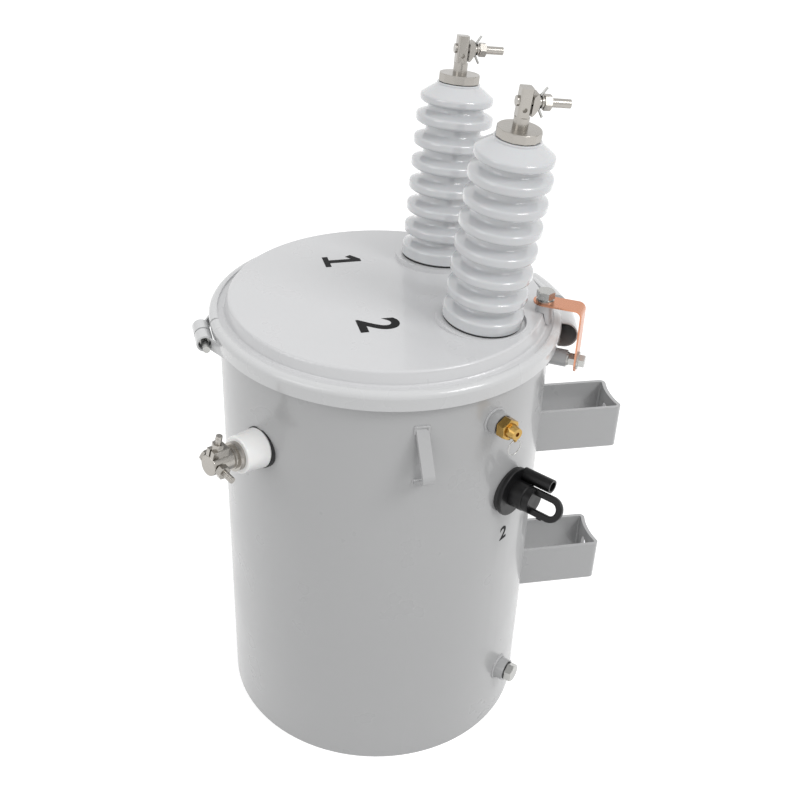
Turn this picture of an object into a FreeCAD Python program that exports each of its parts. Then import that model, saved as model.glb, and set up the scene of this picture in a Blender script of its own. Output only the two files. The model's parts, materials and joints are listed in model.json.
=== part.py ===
import FreeCAD, Part
import math
import os
import Sketcher

# Pole-mounted single-phase distribution transformer, in millimetres.
# Origin: centre of the tank's bottom edge. +Z up, +Y towards the pole, +X the near lifting lug.

SIZES = [
    # Tank
    ("tank_radius", 250.0),
    ("tank_sheet", 3.0),
    ("tank_height", 704.0),
    ("rim_radius", 259.0),
    ("rim_drop", 16.0),
    ("rim_corner", 2.5),
    ("bottom_recess", 12.0),
    ("bottom_sheet", 4.0),
    ("weld_gap", 0.1),
    # Cover
    ("cover_gasket_sheet", 4.0),
    ("cover_gasket_width", 10.0),
    ("cover_sheet", 3.0),
    ("cover_edge_inset", 3.2),
    ("panel_radius", 236.5),
    ("panel_rise", 20.0),
    ("panel_dome", 1.5),
    ("panel_corner", 4.0),
    ("step_run", 4.0),
    ("step_foot", 4.0),
    # Clamping band
    ("band_sheet", 2.5),
    ("band_rim_gap", 1.0),
    ("band_bulge", 2.5),
    ("band_corner", 9.0),
    ("band_lip_radius", 252.5),
    ("band_hook_gap", 0.5),
    ("closure_right_turn", 90.0),
    ("closure_right_gap", 1.3),
    ("closure_right_lug", 17.5),
    ("closure_left_turn", -85.5),
    ("closure_left_gap", 0.4),
    ("closure_left_line", 276.4),
    ("barrel_radius", 12.5),
    ("barrel_bore", 9.8),
    ("barrel_end", 5.5),
    ("barrel_length", 25.0),
    ("flare_start", 58.0),
    ("flare_foot", 8.0),
    ("flare_end", 14.0),
    ("flare_sheet", 3.0),
    ("flare_height", 18.0),
    ("left_bolt_flats", 16.0),
    ("left_bolt_tail", 29.0),
    ("closure_height", 40.0),
    ("closure_top_drop", 5.5),
    ("closure_flat", 6.0),
    ("closure_wall", 2.0),
    ("closure_end_turn", 0.7),
    ("closure_bolt_radius", 5.0),
    ("closure_bolt_flats", 17.0),
    ("closure_bolt_tail", 10.0),
    ("closure_nut_height", 8.5),
    ("bolt_clearance", 0.6),
    ("thread_clearance", 0.05),
    # High-voltage bushings
    ("hv_pair_turn", 94.0),
    ("hv_half_spread", 43.9),
    ("hv_pitch_radius", 157.5),
    ("hv_lean", 5.94),
    ("hv_lean_spread", 39.0),
    ("hv_seat_lift", 1.5),
    ("hv_collar_radius", 68.0),
    ("hv_gasket_sheet", 3.0),
    ("hv_gasket_radius", 57.0),
    ("hv_base_corner", 1.5),
    ("hv_base_top", 22.0),
    ("hv_shed_radius", 58.75),
    ("hv_shed_half", 7.5),
    ("hv_rim_edge", 4.5),
    ("hv_hollow_radius", 6.0),
    ("hv_shed_slope", 25.0),
    ("hv_under_slope", 8.0),
    ("hv_core_radius", 42.5),
    ("hv_first_shed", 46.75),
    ("hv_shed_pitch", 34.75),
    ("hv_shed_count", 6.0),
    ("hv_cap_shed_radius", 55.5),
    ("hv_cap_shed_centre", 250.5),
    ("hv_cap_shed_half", 6.5),
    ("hv_cap_slope", 35.0),
    ("hv_neck_corner", 1.0),
    ("hv_neck_radius", 33.0),
    ("hv_neck_height", 273.8),
    ("hv_bore_radius", 11.5),
    ("hv_shank_radius", 27.0),
    ("hv_shank_depth", 90.0),
    ("hv_seal_sheet", 1.2),
    ("hv_seal_radius", 27.0),
    ("cap_nut_corner_radius", 31.0),
    ("cap_nut_height", 12.0),
    ("cap_nut_chamfer", 1.5),
    ("cap_nut_sides", 12.0),
    ("hv_stud_radius", 8.0),
    ("hv_stud_below", 25.0),
    ("hv_stud_above", 9.0),
    ("clamp_ring_radius", 42.0),
    ("clamp_ring_height", 14.0),
    ("stud_nut_flats", 27.0),
    ("stud_nut_height", 12.0),
    # High-voltage clamp terminals
    ("stem_radius", 10.5),
    ("stem_height", 15.0),
    ("body_height", 39.0),
    ("body_back", 9.5),
    ("body_front", 7.3),
    ("body_depth", 18.0),
    ("body_fillet", 3.0),
    ("body_slope", 9.0),
    ("body_hole_radius", 3.3),
    ("body_hole_spread", 9.5),
    ("body_hole_depth", 4.5),
    ("body_top_hole_radius", 1.8),
    ("jaw_gap", 1.5),
    ("jaw_thick", 9.0),
    ("jaw_back_radius", 24.0),
    ("jaw_notch", 5.5),
    ("clamp_bolt_radius", 5.9),
    ("clamp_bolt_head_radius", 6.8),
    ("clamp_bolt_head", 3.0),
    ("clamp_bolt_reach", 61.5),
    ("clip_wire", 1.7),
    ("clip_loop_radius", 8.8),
    ("clip_leg_run", 6.8),
    ("clip_leg_rise", 11.0),
    ("lock_washer_radius", 8.2),
    ("lock_washer_sheet", 2.5),
    ("clamp_nut_flats", 19.0),
    ("clamp_nut_height", 10.4),
    ("seat_gap", 0.1),
    # Low-voltage bushing
    ("lv_turn", -55.5),
    ("lv_drop", 138.0),
    ("lv_tilt", 6.5),
    ("lv_roll", 10.0),
    ("lv_gasket_radius", 31.4),
    ("lv_gasket_sheet", 3.5),
    ("lv_base_radius", 30.3),
    ("lv_face_radius", 27.8),
    ("lv_length", 40.0),
    ("lv_corner", 2.5),
    ("lv_shank_radius", 18.5),
    ("lv_shank_depth", 40.0),
    ("lv_stud_radius", 10.0),
    ("lv_stud_depth", 14.0),
    ("lv_collar_radius", 21.5),
    ("lv_collar_length", 8.0),
    ("lv_step_radius", 17.5),
    ("lv_step_length", 5.0),
    ("lv_bar_radius", 15.5),
    ("lv_bar_length", 37.0),
    ("lv_bar_corner", 2.0),
    ("lv_bolt_back", 11.0),
    ("lv_stud_floor", 7.0),
    ("lv_bolt_radius", 4.5),
    ("lv_cross_reach", 42.0),
    ("lv_upright_reach", 49.0),
    ("lv_bolt_flats", 18.5),
    ("lv_stud_nut_flats", 15.0),
    ("lv_nut_height", 9.0),
    ("lv_head_height", 6.0),
    ("saddle_length", 27.0),
    ("saddle_width", 16.0),
    ("saddle_bottom", 13.5),
    ("saddle_top", 27.0),
    ("saddle_slot", 3.0),
    ("saddle_slot_depth", 8.0),
    ("lv_ring_radius", 27.0),
    ("lv_ring_height", 10.0),
    # Lifting lugs
    ("lug_turn", 1.2),
    ("lug_twist", 6.0),
    ("lug_root", 2.0),
    ("lug_drop", 54.0),
    ("lug_nose_drop", 120.0),
    ("lug_foot_drop", 148.0),
    ("lug_reach", 42.0),
    ("lug_plate", 6.0),
    ("lug_width", 18.0),
    ("lug_nose_radius", 11.0),
    # Pole brackets
    ("bracket_spacing", 285.75),
    ("bracket_lower_centre", 198.6),
    ("bracket_height", 75.0),
    ("bracket_width", 88.0),
    ("bracket_reach", 392.75),
    ("bracket_plate", 6.0),
    ("bracket_corner", 9.0),
    ("pole_seat_radius", 130.0),
    ("slot_width", 18.0),
    ("slot_height", 36.0),
    # Pressure relief valve
    ("relief_turn", 27.8),
    ("relief_drop", 70.5),
    ("coupling_radius", 17.0),
    ("coupling_out", 16.0),
    ("coupling_in", 8.0),
    ("coupling_bore", 11.0),
    ("seal_sheet", 2.0),
    ("relief_hex_flats", 29.0),
    ("relief_hex_height", 14.0),
    ("relief_chamber_radius", 8.0),
    ("relief_seat_radius", 5.0),
    ("relief_seat_depth", 16.0),
    ("relief_roof", 4.0),
    ("poppet_radius", 7.0),
    ("poppet_sheet", 3.0),
    ("relief_stem_radius", 2.5),
    ("relief_cap_radius", 10.5),
    ("relief_cap_end_radius", 8.7),
    ("relief_cap_length", 12.5),
    ("relief_cap_sides", 8.0),
    ("relief_cap_gap", 0.4),
    ("relief_vent_radius", 3.3),
    ("relief_vent_depth", 5.0),
    ("relief_spring_radius", 5.4),
    ("relief_spring_wire", 0.8),
    ("relief_spring_turns", 5.0),
    ("relief_travel", 2.5),
    ("ring_radius", 12.0),
    ("ring_wire", 0.8),
    ("ring_eye_radius", 1.2),
    ("ring_eye_drop", 10.8),
    ("ring_eye_back", 3.5),
    ("ring_eye_plate", 2.6),
    ("ring_eye_edge", 1.6),
    # Tap switch
    ("switch_turn", 39.3),
    ("switch_drop", 215.0),
    ("switch_flange_radius", 38.5),
    ("switch_flange_sheet", 6.0),
    ("switch_flange_edge", 2.0),
    ("switch_gasket_sheet", 4.5),
    ("switch_hub_radius", 21.0),
    ("switch_hub_length", 23.0),
    ("switch_post_radius", 10.5),
    ("switch_post_wall", 3.0),
    ("switch_post_length", 50.0),
    ("switch_post_side", 23.0),
    ("switch_post_up", 21.6),
    ("switch_post_web", 7.0),
    ("switch_shank_radius", 14.0),
    ("switch_shank_depth", 22.0),
    ("switch_nut_flats", 44.0),
    ("switch_nut_height", 8.0),
    ("switch_shaft_radius", 5.0),
    ("switch_shaft_fit", 0.08),
    ("knob_gap", 0.4),
    ("knob_radius", 20.0),
    ("knob_disc", 11.0),
    ("knob_strand", 10.0),
    ("knob_thick", 9.0),
    ("knob_reach", 93.0),
    ("knob_turn", 26.0),
    ("knob_edge", 2.5),
    ("knob_tab", 4.0),
    ("deck_radius", 34.0),
    ("deck_sheet", 8.0),
    ("deck_depth", 46.0),
    ("deck_stud_radius", 3.0),
    ("deck_stud_pitch", 26.0),
    ("deck_stud_count", 5.0),
    ("deck_stud_step", 30.0),
    # Drain
    ("drain_turn", 46.2),
    ("drain_height", 99.0),
    ("drain_radius", 18.3),
    ("drain_out", 16.5),
    ("drain_bore", 11.0),
    ("drain_washer_sheet", 1.6),
    ("drain_washer_radius", 15.5),
    ("drain_plug_flats", 27.0),
    ("drain_plug_height", 12.0),
    # Earthing
    ("earth_turn", 69.0),
    ("earth_cover_radius", 236.0),
    ("earth_boss_radius", 13.0),
    ("earth_cover_rise", 13.0),
    ("earth_tank_drop", 46.0),
    ("earth_tank_reach", 43.0),
    ("strap_twist", 9.0),
    ("strap_width", 34.0),
    ("strap_sheet", 2.5),
    ("strap_bend", 11.0),
    ("strap_reach", 58.5),
    ("earth_bolt_radius", 6.0),
    ("earth_cover_flats", 24.0),
    ("earth_cover_head", 11.0),
    ("earth_tank_flats", 18.0),
    ("earth_tank_head", 9.0),
    ("earth_bolt_depth", 14.0),
    ("earth_washer_radius", 13.5),
    ("earth_washer_sheet", 2.4),
    ("earth_lock_radius", 10.5),
    ("earth_lock_sheet", 2.6),
    # Core and windings
    ("core_width", 150.0),
    ("core_height", 320.0),
    ("core_build", 50.0),
    ("core_depth", 110.0),
    ("core_corner", 24.0),
    ("core_window_corner", 4.0),
    ("core_gap", 0.5),
    ("lv_coil_gap", 3.0),
    ("lv_coil_build", 12.0),
    ("barrier_gap", 0.5),
    ("barrier_build", 2.0),
    ("hv_coil_build", 22.0),
    ("coil_height", 200.0),
    ("coil_corner", 6.0),
    ("clamp_sheet", 6.0),
    ("clamp_foot", 24.0),
    ("clamp_end", 22.0),
    ("tie_rod_radius", 5.0),
    ("tie_rod_inset", 11.0),
    ("tie_nut_flats", 17.0),
    ("tie_nut_height", 8.0),
    ("tie_rod_tail", 5.0),
    ("hv_lead_radius", 4.0),
    ("lv_lead_radius", 6.0),
    ("lead_bend", 30.0),
]

doc = FreeCAD.newDocument("distribution_transformer")
sheet = doc.addObject("Spreadsheet::Sheet", "sizes")


# Sizes with a value and a formula
class Size:
    def __init__(self, value, formula):
        self.value = value
        self.formula = formula

    def __add__(self, other):
        other = as_size(other)
        return Size(self.value + other.value, f"({self.formula} + {other.formula})")

    def __radd__(self, other):
        return as_size(other) + self

    def __sub__(self, other):
        other = as_size(other)
        return Size(self.value - other.value, f"({self.formula} - {other.formula})")

    def __rsub__(self, other):
        return as_size(other) - self

    def __mul__(self, other):
        other = as_size(other)
        return Size(self.value * other.value, f"({self.formula} * {other.formula})")

    def __rmul__(self, other):
        return as_size(other) * self

    def __truediv__(self, other):
        other = as_size(other)
        return Size(self.value / other.value, f"({self.formula} / {other.formula})")

    def __rtruediv__(self, other):
        return as_size(other) / self

    def __neg__(self):
        return Size(-self.value, f"(0 - {self.formula})")


def as_size(number):
    if isinstance(number, Size):
        return number
    text = repr(float(number))
    if number < 0:
        text = f"({text})"
    return Size(float(number), text)


def root(size):
    size = as_size(size)
    return Size(math.sqrt(size.value), f"sqrt({size.formula})")


def cosine(angle):
    angle = as_size(angle)
    return Size(math.cos(math.radians(angle.value)), f"cos({angle.formula})")


def sine(angle):
    angle = as_size(angle)
    return Size(math.sin(math.radians(angle.value)), f"sin({angle.formula})")


class Dimensions:
    def __init__(self, rows):
        for row, (name, value) in enumerate(rows, start=1):
            sheet.set(f"A{row}", name.replace("_", " "))
            sheet.set(f"B{row}", str(value))
            sheet.setAlias(f"B{row}", name)
            setattr(self, name, Size(value, f"sizes.{name}"))


d = Dimensions(SIZES)
doc.recompute()
nodes = {}


# Placing
def shift(x=0, y=0, z=0, axis=(0, 0, 1), angle=0):
    x, y, z, angle = as_size(x), as_size(y), as_size(z), as_size(angle)
    ax, ay, az = [as_size(value) for value in axis]
    formula = (
        f"placement(vector({x.formula}; {y.formula}; {z.formula});"
        f" rotation(vector({ax.formula}; {ay.formula}; {az.formula}); {angle.formula}))"
    )
    return formula


def place(thing, *steps):
    thing.setExpression("Placement", " * ".join(steps))
    return thing


def at_azimuth(turn, height=0):
    return shift(z=height, angle=turn)


ALONG_X = shift(axis=(0, 1, 0), angle=90)
ALONG_Y = shift(axis=(1, 0, 0), angle=-90)


# Sketching
# A radius this close to half the chord makes a half circle.
HALF_ROUND_ROOM = 0.000001


def draw(sketch, corners):
    # Each corner is (x, y) or (x, y, radius of the arc to the next corner).
    # A positive radius turns left, a negative one turns right.
    count = len(corners)
    points = [FreeCAD.Vector(as_size(c[0]).value, as_size(c[1]).value, 0) for c in corners]
    ends = []
    for index, corner in enumerate(corners):
        start = points[index]
        stop = points[(index + 1) % count]
        if len(corner) < 3:
            geometry = sketch.addGeometry(Part.LineSegment(start, stop), False)
            ends.append((geometry, 1, 2, None))
            continue
        bend = as_size(corner[2])
        radius = abs(bend.value)
        chord = stop - start
        half = chord.Length / 2
        rise = math.sqrt(max(radius * radius - half * half, 0))
        side = FreeCAD.Vector(-chord.y, chord.x, 0).normalize()
        centre = (start + stop) * 0.5 + side * (rise if bend.value > 0 else -rise)
        first, last = (start, stop) if bend.value > 0 else (stop, start)
        a0 = math.atan2(first.y - centre.y, first.x - centre.x)
        a1 = math.atan2(last.y - centre.y, last.x - centre.x)
        if a1 <= a0:
            a1 += 2 * math.pi
        circle = Part.Circle(centre, FreeCAD.Vector(0, 0, 1), radius)
        geometry = sketch.addGeometry(Part.ArcOfCircle(circle, a0, a1), False)
        if bend.value > 0:
            ends.append((geometry, 1, 2, bend))
        else:
            ends.append((geometry, 2, 1, -bend))
    for index in range(count):
        geometry, begin, end, bend = ends[index]
        following = ends[(index + 1) % count]
        sketch.addConstraint(Sketcher.Constraint("Coincident", geometry, end, following[0], following[1]))
        pin(sketch, geometry, begin, corners[index])
        if bend is None:
            continue
        chord = points[(index + 1) % count] - points[index]
        if abs(chord.Length / 2 - bend.value) > HALF_ROUND_ROOM:
            number = sketch.addConstraint(Sketcher.Constraint("Radius", geometry, bend.value))
            sketch.setExpression(f"Constraints[{number}]", bend.formula)
            continue
        # A half circle is held by its centre, which lies between its ends.
        other = corners[(index + 1) % count]
        if abs(chord.x) < abs(chord.y):
            pin(sketch, geometry, 3, ((as_size(corners[index][0]) + other[0]) / 2, None))
        else:
            pin(sketch, geometry, 3, (None, (as_size(corners[index][1]) + other[1]) / 2))


def pin(sketch, geometry, end, corner):
    for kind, size, own_axis in (("DistanceX", corner[0], -2), ("DistanceY", corner[1], -1)):
        if size is None:
            continue
        size = as_size(size)
        if size.formula == "0.0":
            sketch.addConstraint(Sketcher.Constraint("PointOnObject", geometry, end, own_axis))
            continue
        number = sketch.addConstraint(Sketcher.Constraint(kind, -1, 1, geometry, end, size.value))
        sketch.setExpression(f"Constraints[{number}]", size.formula)


def new_body(label):
    body = doc.addObject("PartDesign::Body", label)
    body.Label = label
    return body


def new_sketch(body, name, role, outlines, offset=None):
    sketch = body.newObject("Sketcher::SketchObject", name)
    for feature in body.Origin.OriginFeatures:
        if feature.Role == role:
            sketch.AttachmentSupport = [(feature, "")]
    sketch.MapMode = "FlatFace"
    if offset is not None:
        sketch.setExpression("AttachmentOffset.Base.z", as_size(offset).formula)
    for corners in outlines:
        draw(sketch, corners)
    return sketch


def turned(label, corners, axis="V_Axis"):
    # A turned piece: about Z for V_Axis, about X for H_Axis.
    body = new_body(label)
    sketch = new_sketch(body, f"{label}_profile", "XZ_Plane", [corners])
    revolution = body.newObject("PartDesign::Revolution", f"{label}_turned")
    revolution.Profile = sketch
    revolution.ReferenceAxis = (sketch, [axis])
    revolution.Angle = 360
    return body


def padded(label, role, outlines, length, symmetric=False, offset=None):
    body = new_body(label)
    sketch = new_sketch(body, f"{label}_profile", role, outlines, offset)
    pad = body.newObject("PartDesign::Pad", f"{label}_pad")
    pad.Profile = sketch
    pad.setExpression("Length", as_size(length).formula)
    if symmetric:
        pad.SideType = "Symmetric"
    return body


def fillet_edges(body, name, radius, chosen):
    # Rounds the edges whose middle point passes the test.
    doc.recompute()
    base = body.Tip
    edges = []
    for number, edge in enumerate(base.Shape.Edges, start=1):
        middle = edge.valueAt((edge.FirstParameter + edge.LastParameter) / 2)
        if chosen(middle, edge):
            edges.append(f"Edge{number}")
    feature = body.newObject("PartDesign::Fillet", name)
    feature.Base = (base, edges)
    feature.setExpression("Radius", as_size(radius).formula)
    return feature


def rectangle(x0, y0, x1, y1, corner=None):
    if corner is None:
        return [(x0, y0), (x1, y0), (x1, y1), (x0, y1)]
    return [
        (x0 + corner, y0),
        (x1 - corner, y0, corner),
        (x1, y0 + corner),
        (x1, y1 - corner, corner),
        (x1 - corner, y1),
        (x0 + corner, y1, corner),
        (x0, y1 - corner),
        (x0, y0 + corner, corner),
    ]


# Plain solids and booleans
def rod(name, radius, length, *steps):
    solid = doc.addObject("Part::Cylinder", name)
    solid.setExpression("Radius", as_size(radius).formula)
    solid.setExpression("Height", as_size(length).formula)
    return place(solid, *steps) if steps else solid


def cone(name, radius, top_radius, length, *steps):
    solid = doc.addObject("Part::Cone", name)
    solid.setExpression("Radius1", as_size(radius).formula)
    solid.setExpression("Radius2", as_size(top_radius).formula)
    solid.setExpression("Height", as_size(length).formula)
    return place(solid, *steps) if steps else solid


def block(name, length, width, height, *steps):
    solid = doc.addObject("Part::Box", name)
    solid.setExpression("Length", as_size(length).formula)
    solid.setExpression("Width", as_size(width).formula)
    solid.setExpression("Height", as_size(height).formula)
    return place(solid, *steps) if steps else solid


def prism(name, sides, corner_radius, length, *steps):
    solid = doc.addObject("Part::Prism", name)
    solid.Polygon = int(as_size(sides).value)
    solid.setExpression("Circumradius", as_size(corner_radius).formula)
    solid.setExpression("Height", as_size(length).formula)
    return place(solid, *steps) if steps else solid


def fuse(name, parts):
    result = doc.addObject("Part::MultiFuse", name)
    result.Shapes = parts
    result.Refine = True
    return result


def cut(name, base, tools):
    result = doc.addObject("Part::Cut", name)
    result.Base = base
    result.Tool = tools[0] if len(tools) == 1 else fuse(f"{name}_tools", tools)
    return result


def common(name, first, second):
    result = doc.addObject("Part::Common", name)
    result.Base = first
    result.Tool = second
    return result


def group(name, parts):
    result = doc.addObject("Part::Compound", name)
    result.Links = parts
    return result


def hexagon(name, flats, height, bore=None, under=False):
    # A hexagon with its top corners, and its bottom ones too if asked, turned to a 30 degree chamfer.
    corner_radius = flats / math.sqrt(3)
    solid = prism(f"{name}_prism", 6, corner_radius, height)
    spread = height * math.sqrt(3)
    inner = flats * 0.49
    solid = common(f"{name}_top", solid, cone(f"{name}_chamfer", inner + spread, inner, height))
    if under:
        solid = common(f"{name}_under", solid, cone(f"{name}_relief", inner, inner + spread, height))
    if bore is not None:
        solid = cut(f"{name}_nut", solid, [rod(f"{name}_bore", bore, height)])
    return solid


def node(label, thing):
    thing.Label = label
    nodes[label] = thing
    return thing


# Shared levels
wall_inside = d.tank_radius - d.tank_sheet
floor_top = d.bottom_recess + d.bottom_sheet
gasket_top = d.tank_height + d.cover_gasket_sheet
ledge_top = gasket_top + d.cover_sheet
panel_top = ledge_top + d.panel_rise
cover_radius = d.rim_radius - d.cover_edge_inset
tank_face = d.tank_radius + d.weld_gap
lv_height = d.tank_height - d.lv_drop
relief_height = d.tank_height - d.relief_drop
switch_height = d.tank_height - d.switch_drop
earth_tank_height = d.tank_height - d.earth_tank_drop


def tilted(turn, height, tilt):
    # A frame pointing outwards at an azimuth, tilted up about the point where it meets the wall.
    return " * ".join([at_azimuth(turn, height), shift(x=d.tank_radius, axis=(0, 1, 0), angle=-tilt),
                       shift(x=-d.tank_radius)])


lv_frame = tilted(d.lv_turn, lv_height, d.lv_tilt)


# Tank
def wall_hole(name, radius, frame):
    depth = d.tank_sheet * 10
    return rod(name, radius, depth, frame, shift(x=d.tank_radius - depth / 2), ALONG_X)


def make_tank():
    skirt = d.rim_radius - d.tank_sheet
    top = d.tank_height
    shell = turned("tank_wall", [
        (wall_inside, 0),
        (d.tank_radius, 0),
        (d.tank_radius, top - d.tank_sheet),
        (skirt, top - d.tank_sheet),
        (skirt, top - d.rim_drop),
        (d.rim_radius, top - d.rim_drop),
        (d.rim_radius, top - d.rim_corner, d.rim_corner),
        (d.rim_radius - d.rim_corner, top),
        (wall_inside, top),
    ])
    fit = d.weld_gap
    holes = [
        wall_hole("relief_wall_hole", d.coupling_radius + fit, at_azimuth(d.relief_turn, relief_height)),
        wall_hole("switch_wall_hole", d.switch_shank_radius + fit, at_azimuth(d.switch_turn, switch_height)),
        wall_hole("drain_wall_hole", d.drain_radius + fit, at_azimuth(d.drain_turn, d.drain_height)),
        wall_hole("lv_wall_hole", d.lv_shank_radius + fit, lv_frame),
    ]
    node("tank_shell", cut("tank_shell", shell, holes))
    bottom = turned("tank_bottom", [
        (0, d.bottom_recess),
        (wall_inside - fit, d.bottom_recess),
        (wall_inside - fit, floor_top),
        (0, floor_top),
    ])
    node("tank_bottom", bottom)


# High-voltage bushing frames
class Seat:
    # The tilted seat of one bushing, side -1 or 1 about the pair's centre line.
    def __init__(self, side):
        turn = d.hv_pair_turn + side * d.hv_half_spread
        lean_turn = d.hv_pair_turn + side * d.hv_lean_spread
        x = d.hv_pitch_radius * cosine(turn)
        y = d.hv_pitch_radius * sine(turn)
        z = panel_top + d.hv_seat_lift
        self.frame = shift(x, y, z, axis=(-sine(lean_turn), cosine(lean_turn), 0), angle=d.hv_lean)
        self.base = (x, y, z)
        self.axis = (sine(d.hv_lean) * cosine(lean_turn), sine(d.hv_lean) * sine(lean_turn), cosine(d.hv_lean))

    def point(self, height):
        return [base + axis * height for base, axis in zip(self.base, self.axis)]


seats = {1: Seat(1), 2: Seat(-1)}


# Cover, gasket and band
def make_cover():
    foot = d.panel_radius + d.step_run
    sheet_low = d.cover_sheet
    dome = d.panel_dome
    run = d.panel_radius - d.panel_corner
    dome_radius = (run * run + dome * dome) / (2 * dome)
    panel = turned("cover_panel", [
        (0, panel_top + dome - sheet_low),
        (0, panel_top + dome, -dome_radius),
        (run, panel_top, -d.panel_corner),
        (d.panel_radius, panel_top - d.panel_corner),
        (foot, ledge_top + d.step_foot, d.step_foot),
        (foot + d.step_foot, ledge_top),
        (cover_radius, ledge_top),
        (cover_radius, gasket_top),
        (foot + d.step_foot - sheet_low, gasket_top),
        (foot - sheet_low, gasket_top + d.step_foot),
        (d.panel_radius - sheet_low, panel_top - d.panel_corner - sheet_low / 2),
        (run - sheet_low / 2, panel_top - sheet_low, dome_radius - sheet_low),
    ])
    boss_hole = d.earth_bolt_radius + d.bolt_clearance
    cover = panel
    deep = d.hv_collar_radius
    inner = d.hv_collar_radius - d.cover_sheet
    for number, seat in seats.items():
        tag = f"collar_{number}"
        opening = rod(f"{tag}_opening", inner, 2 * deep, seat.frame, shift(z=-deep))
        plate = cut(f"{tag}_plate", rod(f"{tag}_disc", d.hv_collar_radius, d.cover_sheet, shift(z=-d.cover_sheet)),
                    [rod(f"{tag}_bore", d.hv_shank_radius + d.bolt_clearance, deep, shift(z=-deep / 2))])
        place(plate, seat.frame)
        below = cut(f"{tag}_skirt", rod(f"{tag}_skirt_outer", d.hv_collar_radius, deep, shift(z=-deep)),
                    [rod(f"{tag}_skirt_inner", inner, deep, shift(z=-deep))])
        place(below, seat.frame)
        above = cut(f"{tag}_wall", rod(f"{tag}_wall_outer", d.hv_collar_radius, deep, shift(z=-d.cover_sheet)),
                    [rod(f"{tag}_wall_inner", inner, deep, shift(z=-d.cover_sheet))])
        place(above, seat.frame)
        room = d.tank_radius * 2
        upper_room = block(f"{tag}_upper_room", room, room, room,
                           shift(-room / 2, -room / 2, panel_top - d.cover_sheet))
        lower_room = block(f"{tag}_lower_room", room, room, room,
                           shift(-room / 2, -room / 2, panel_top + d.panel_dome / 2 - room))
        skirt = common(f"{tag}_raised", below, upper_room)
        well = common(f"{tag}_sunk", above, lower_room)
        cover = cut(f"{tag}_cut", cover, [opening])
        cover = fuse(f"{tag}_joined", [cover, plate, skirt, well])
    hole = rod("earth_cover_hole", boss_hole, d.panel_rise * 4, at_azimuth(d.earth_turn, gasket_top - d.panel_rise),
               shift(x=d.earth_cover_radius))
    node("cover", cut("cover", cover, [hole]))
    gasket = turned("cover_gasket", [
        (cover_radius - d.cover_gasket_width, d.tank_height),
        (cover_radius, d.tank_height),
        (cover_radius, gasket_top),
        (cover_radius - d.cover_gasket_width, gasket_top),
    ])
    node("cover_gasket", gasket)


def swept_ring(name, corners, start, sweep):
    # A section in the XZ plane turned about Z from one azimuth over an angle.
    sketch = doc.addObject("Sketcher::SketchObject", f"{name}_section")
    sketch.Placement = FreeCAD.Placement(FreeCAD.Vector(), FreeCAD.Rotation(FreeCAD.Vector(1, 0, 0), 90))
    draw(sketch, corners)
    ring = doc.addObject("Part::Revolution", name)
    ring.Source = sketch
    ring.Axis = FreeCAD.Vector(0, 0, 1)
    ring.Base = FreeCAD.Vector(0, 0, 0)
    ring.Solid = True
    ring.setExpression("Angle", as_size(sweep).formula)
    return place(ring, at_azimuth(start))


band_inside = d.rim_radius + d.band_rim_gap
band_outside = band_inside + d.band_sheet
band_bulge_radius = band_outside + d.band_bulge
band_bottom = d.tank_height - d.rim_drop - d.band_hook_gap - d.band_sheet
band_top = ledge_top + d.band_sheet
closure_top = band_top - d.closure_top_drop
closure_bottom = closure_top - d.closure_height
closure_centre = closure_top - d.closure_height / 2
closure_root = band_outside
closure_bolt_line = closure_root + d.closure_wall + d.closure_flat + d.closure_bolt_radius
left_level = closure_centre
left_parting = d.closure_left_line * sine(d.closure_left_gap)
closure_bore_reach = d.closure_height * 2


def band_section():
    knee = band_top - d.band_corner
    inner_knee = d.band_corner - d.band_sheet
    hook = d.tank_radius + d.band_rim_gap
    return [
        (d.band_lip_radius, ledge_top),
        (band_bulge_radius - d.band_corner, ledge_top, -inner_knee),
        (band_bulge_radius - d.band_sheet, knee),
        (band_inside, band_bottom + d.band_sheet),
        (hook, band_bottom + d.band_sheet),
        (hook, band_bottom),
        (band_outside, band_bottom),
        (band_bulge_radius, knee, d.band_corner),
        (band_bulge_radius - d.band_corner, band_top),
        (d.band_lip_radius, band_top),
    ]


def closure_section(inset):
    low = closure_bottom + inset
    high = closure_top - inset
    straight = closure_root + d.closure_wall + d.closure_flat
    return [
        (closure_root + inset, low),
        (straight, low, (high - low) / 2),
        (straight, high),
        (closure_root + inset, high),
    ]


def closure_lug(name, start, sweep, end_first):
    outer = swept_ring(f"{name}_outer", closure_section(0), start, sweep)
    hollow_start = start + d.closure_end_turn if end_first else start - d.closure_end_turn
    hollow = swept_ring(f"{name}_hollow", closure_section(d.closure_wall), hollow_start, sweep)
    return cut(name, outer, [hollow])


def flared_barrel(name, side):
    # The left closure: a barrel beside the band, carried by a strip that flares out from it.
    frame = at_azimuth(d.closure_left_turn, left_level)
    line = d.closure_left_line
    foot = d.flare_start - d.flare_foot
    start_x = root(closure_root * closure_root - d.flare_start * d.flare_start) - d.band_sheet / 2
    foot_x = root(closure_root * closure_root - foot * foot) - d.band_sheet / 2
    end_x = line + d.flare_sheet / 2
    strip = padded(f"{name}_strip", "XY_Plane", [[
        (foot_x, side * foot),
        (end_x - d.flare_sheet, side * d.flare_end),
        (end_x, side * d.flare_end),
        (start_x, side * d.flare_start),
    ]], d.flare_height, symmetric=True)
    length = d.barrel_length
    start = left_parting
    low = start if side > 0 else -start - length
    barrel = rod(f"{name}_tube", d.barrel_radius, length, shift(x=line, y=low), ALONG_Y)
    room_low = start + d.barrel_end if side > 0 else -start - d.barrel_end - length
    room = rod(f"{name}_room", d.barrel_bore, length, frame, shift(x=line, y=room_low), ALONG_Y)
    return place(fuse(name, [strip, barrel]), frame), room


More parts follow.
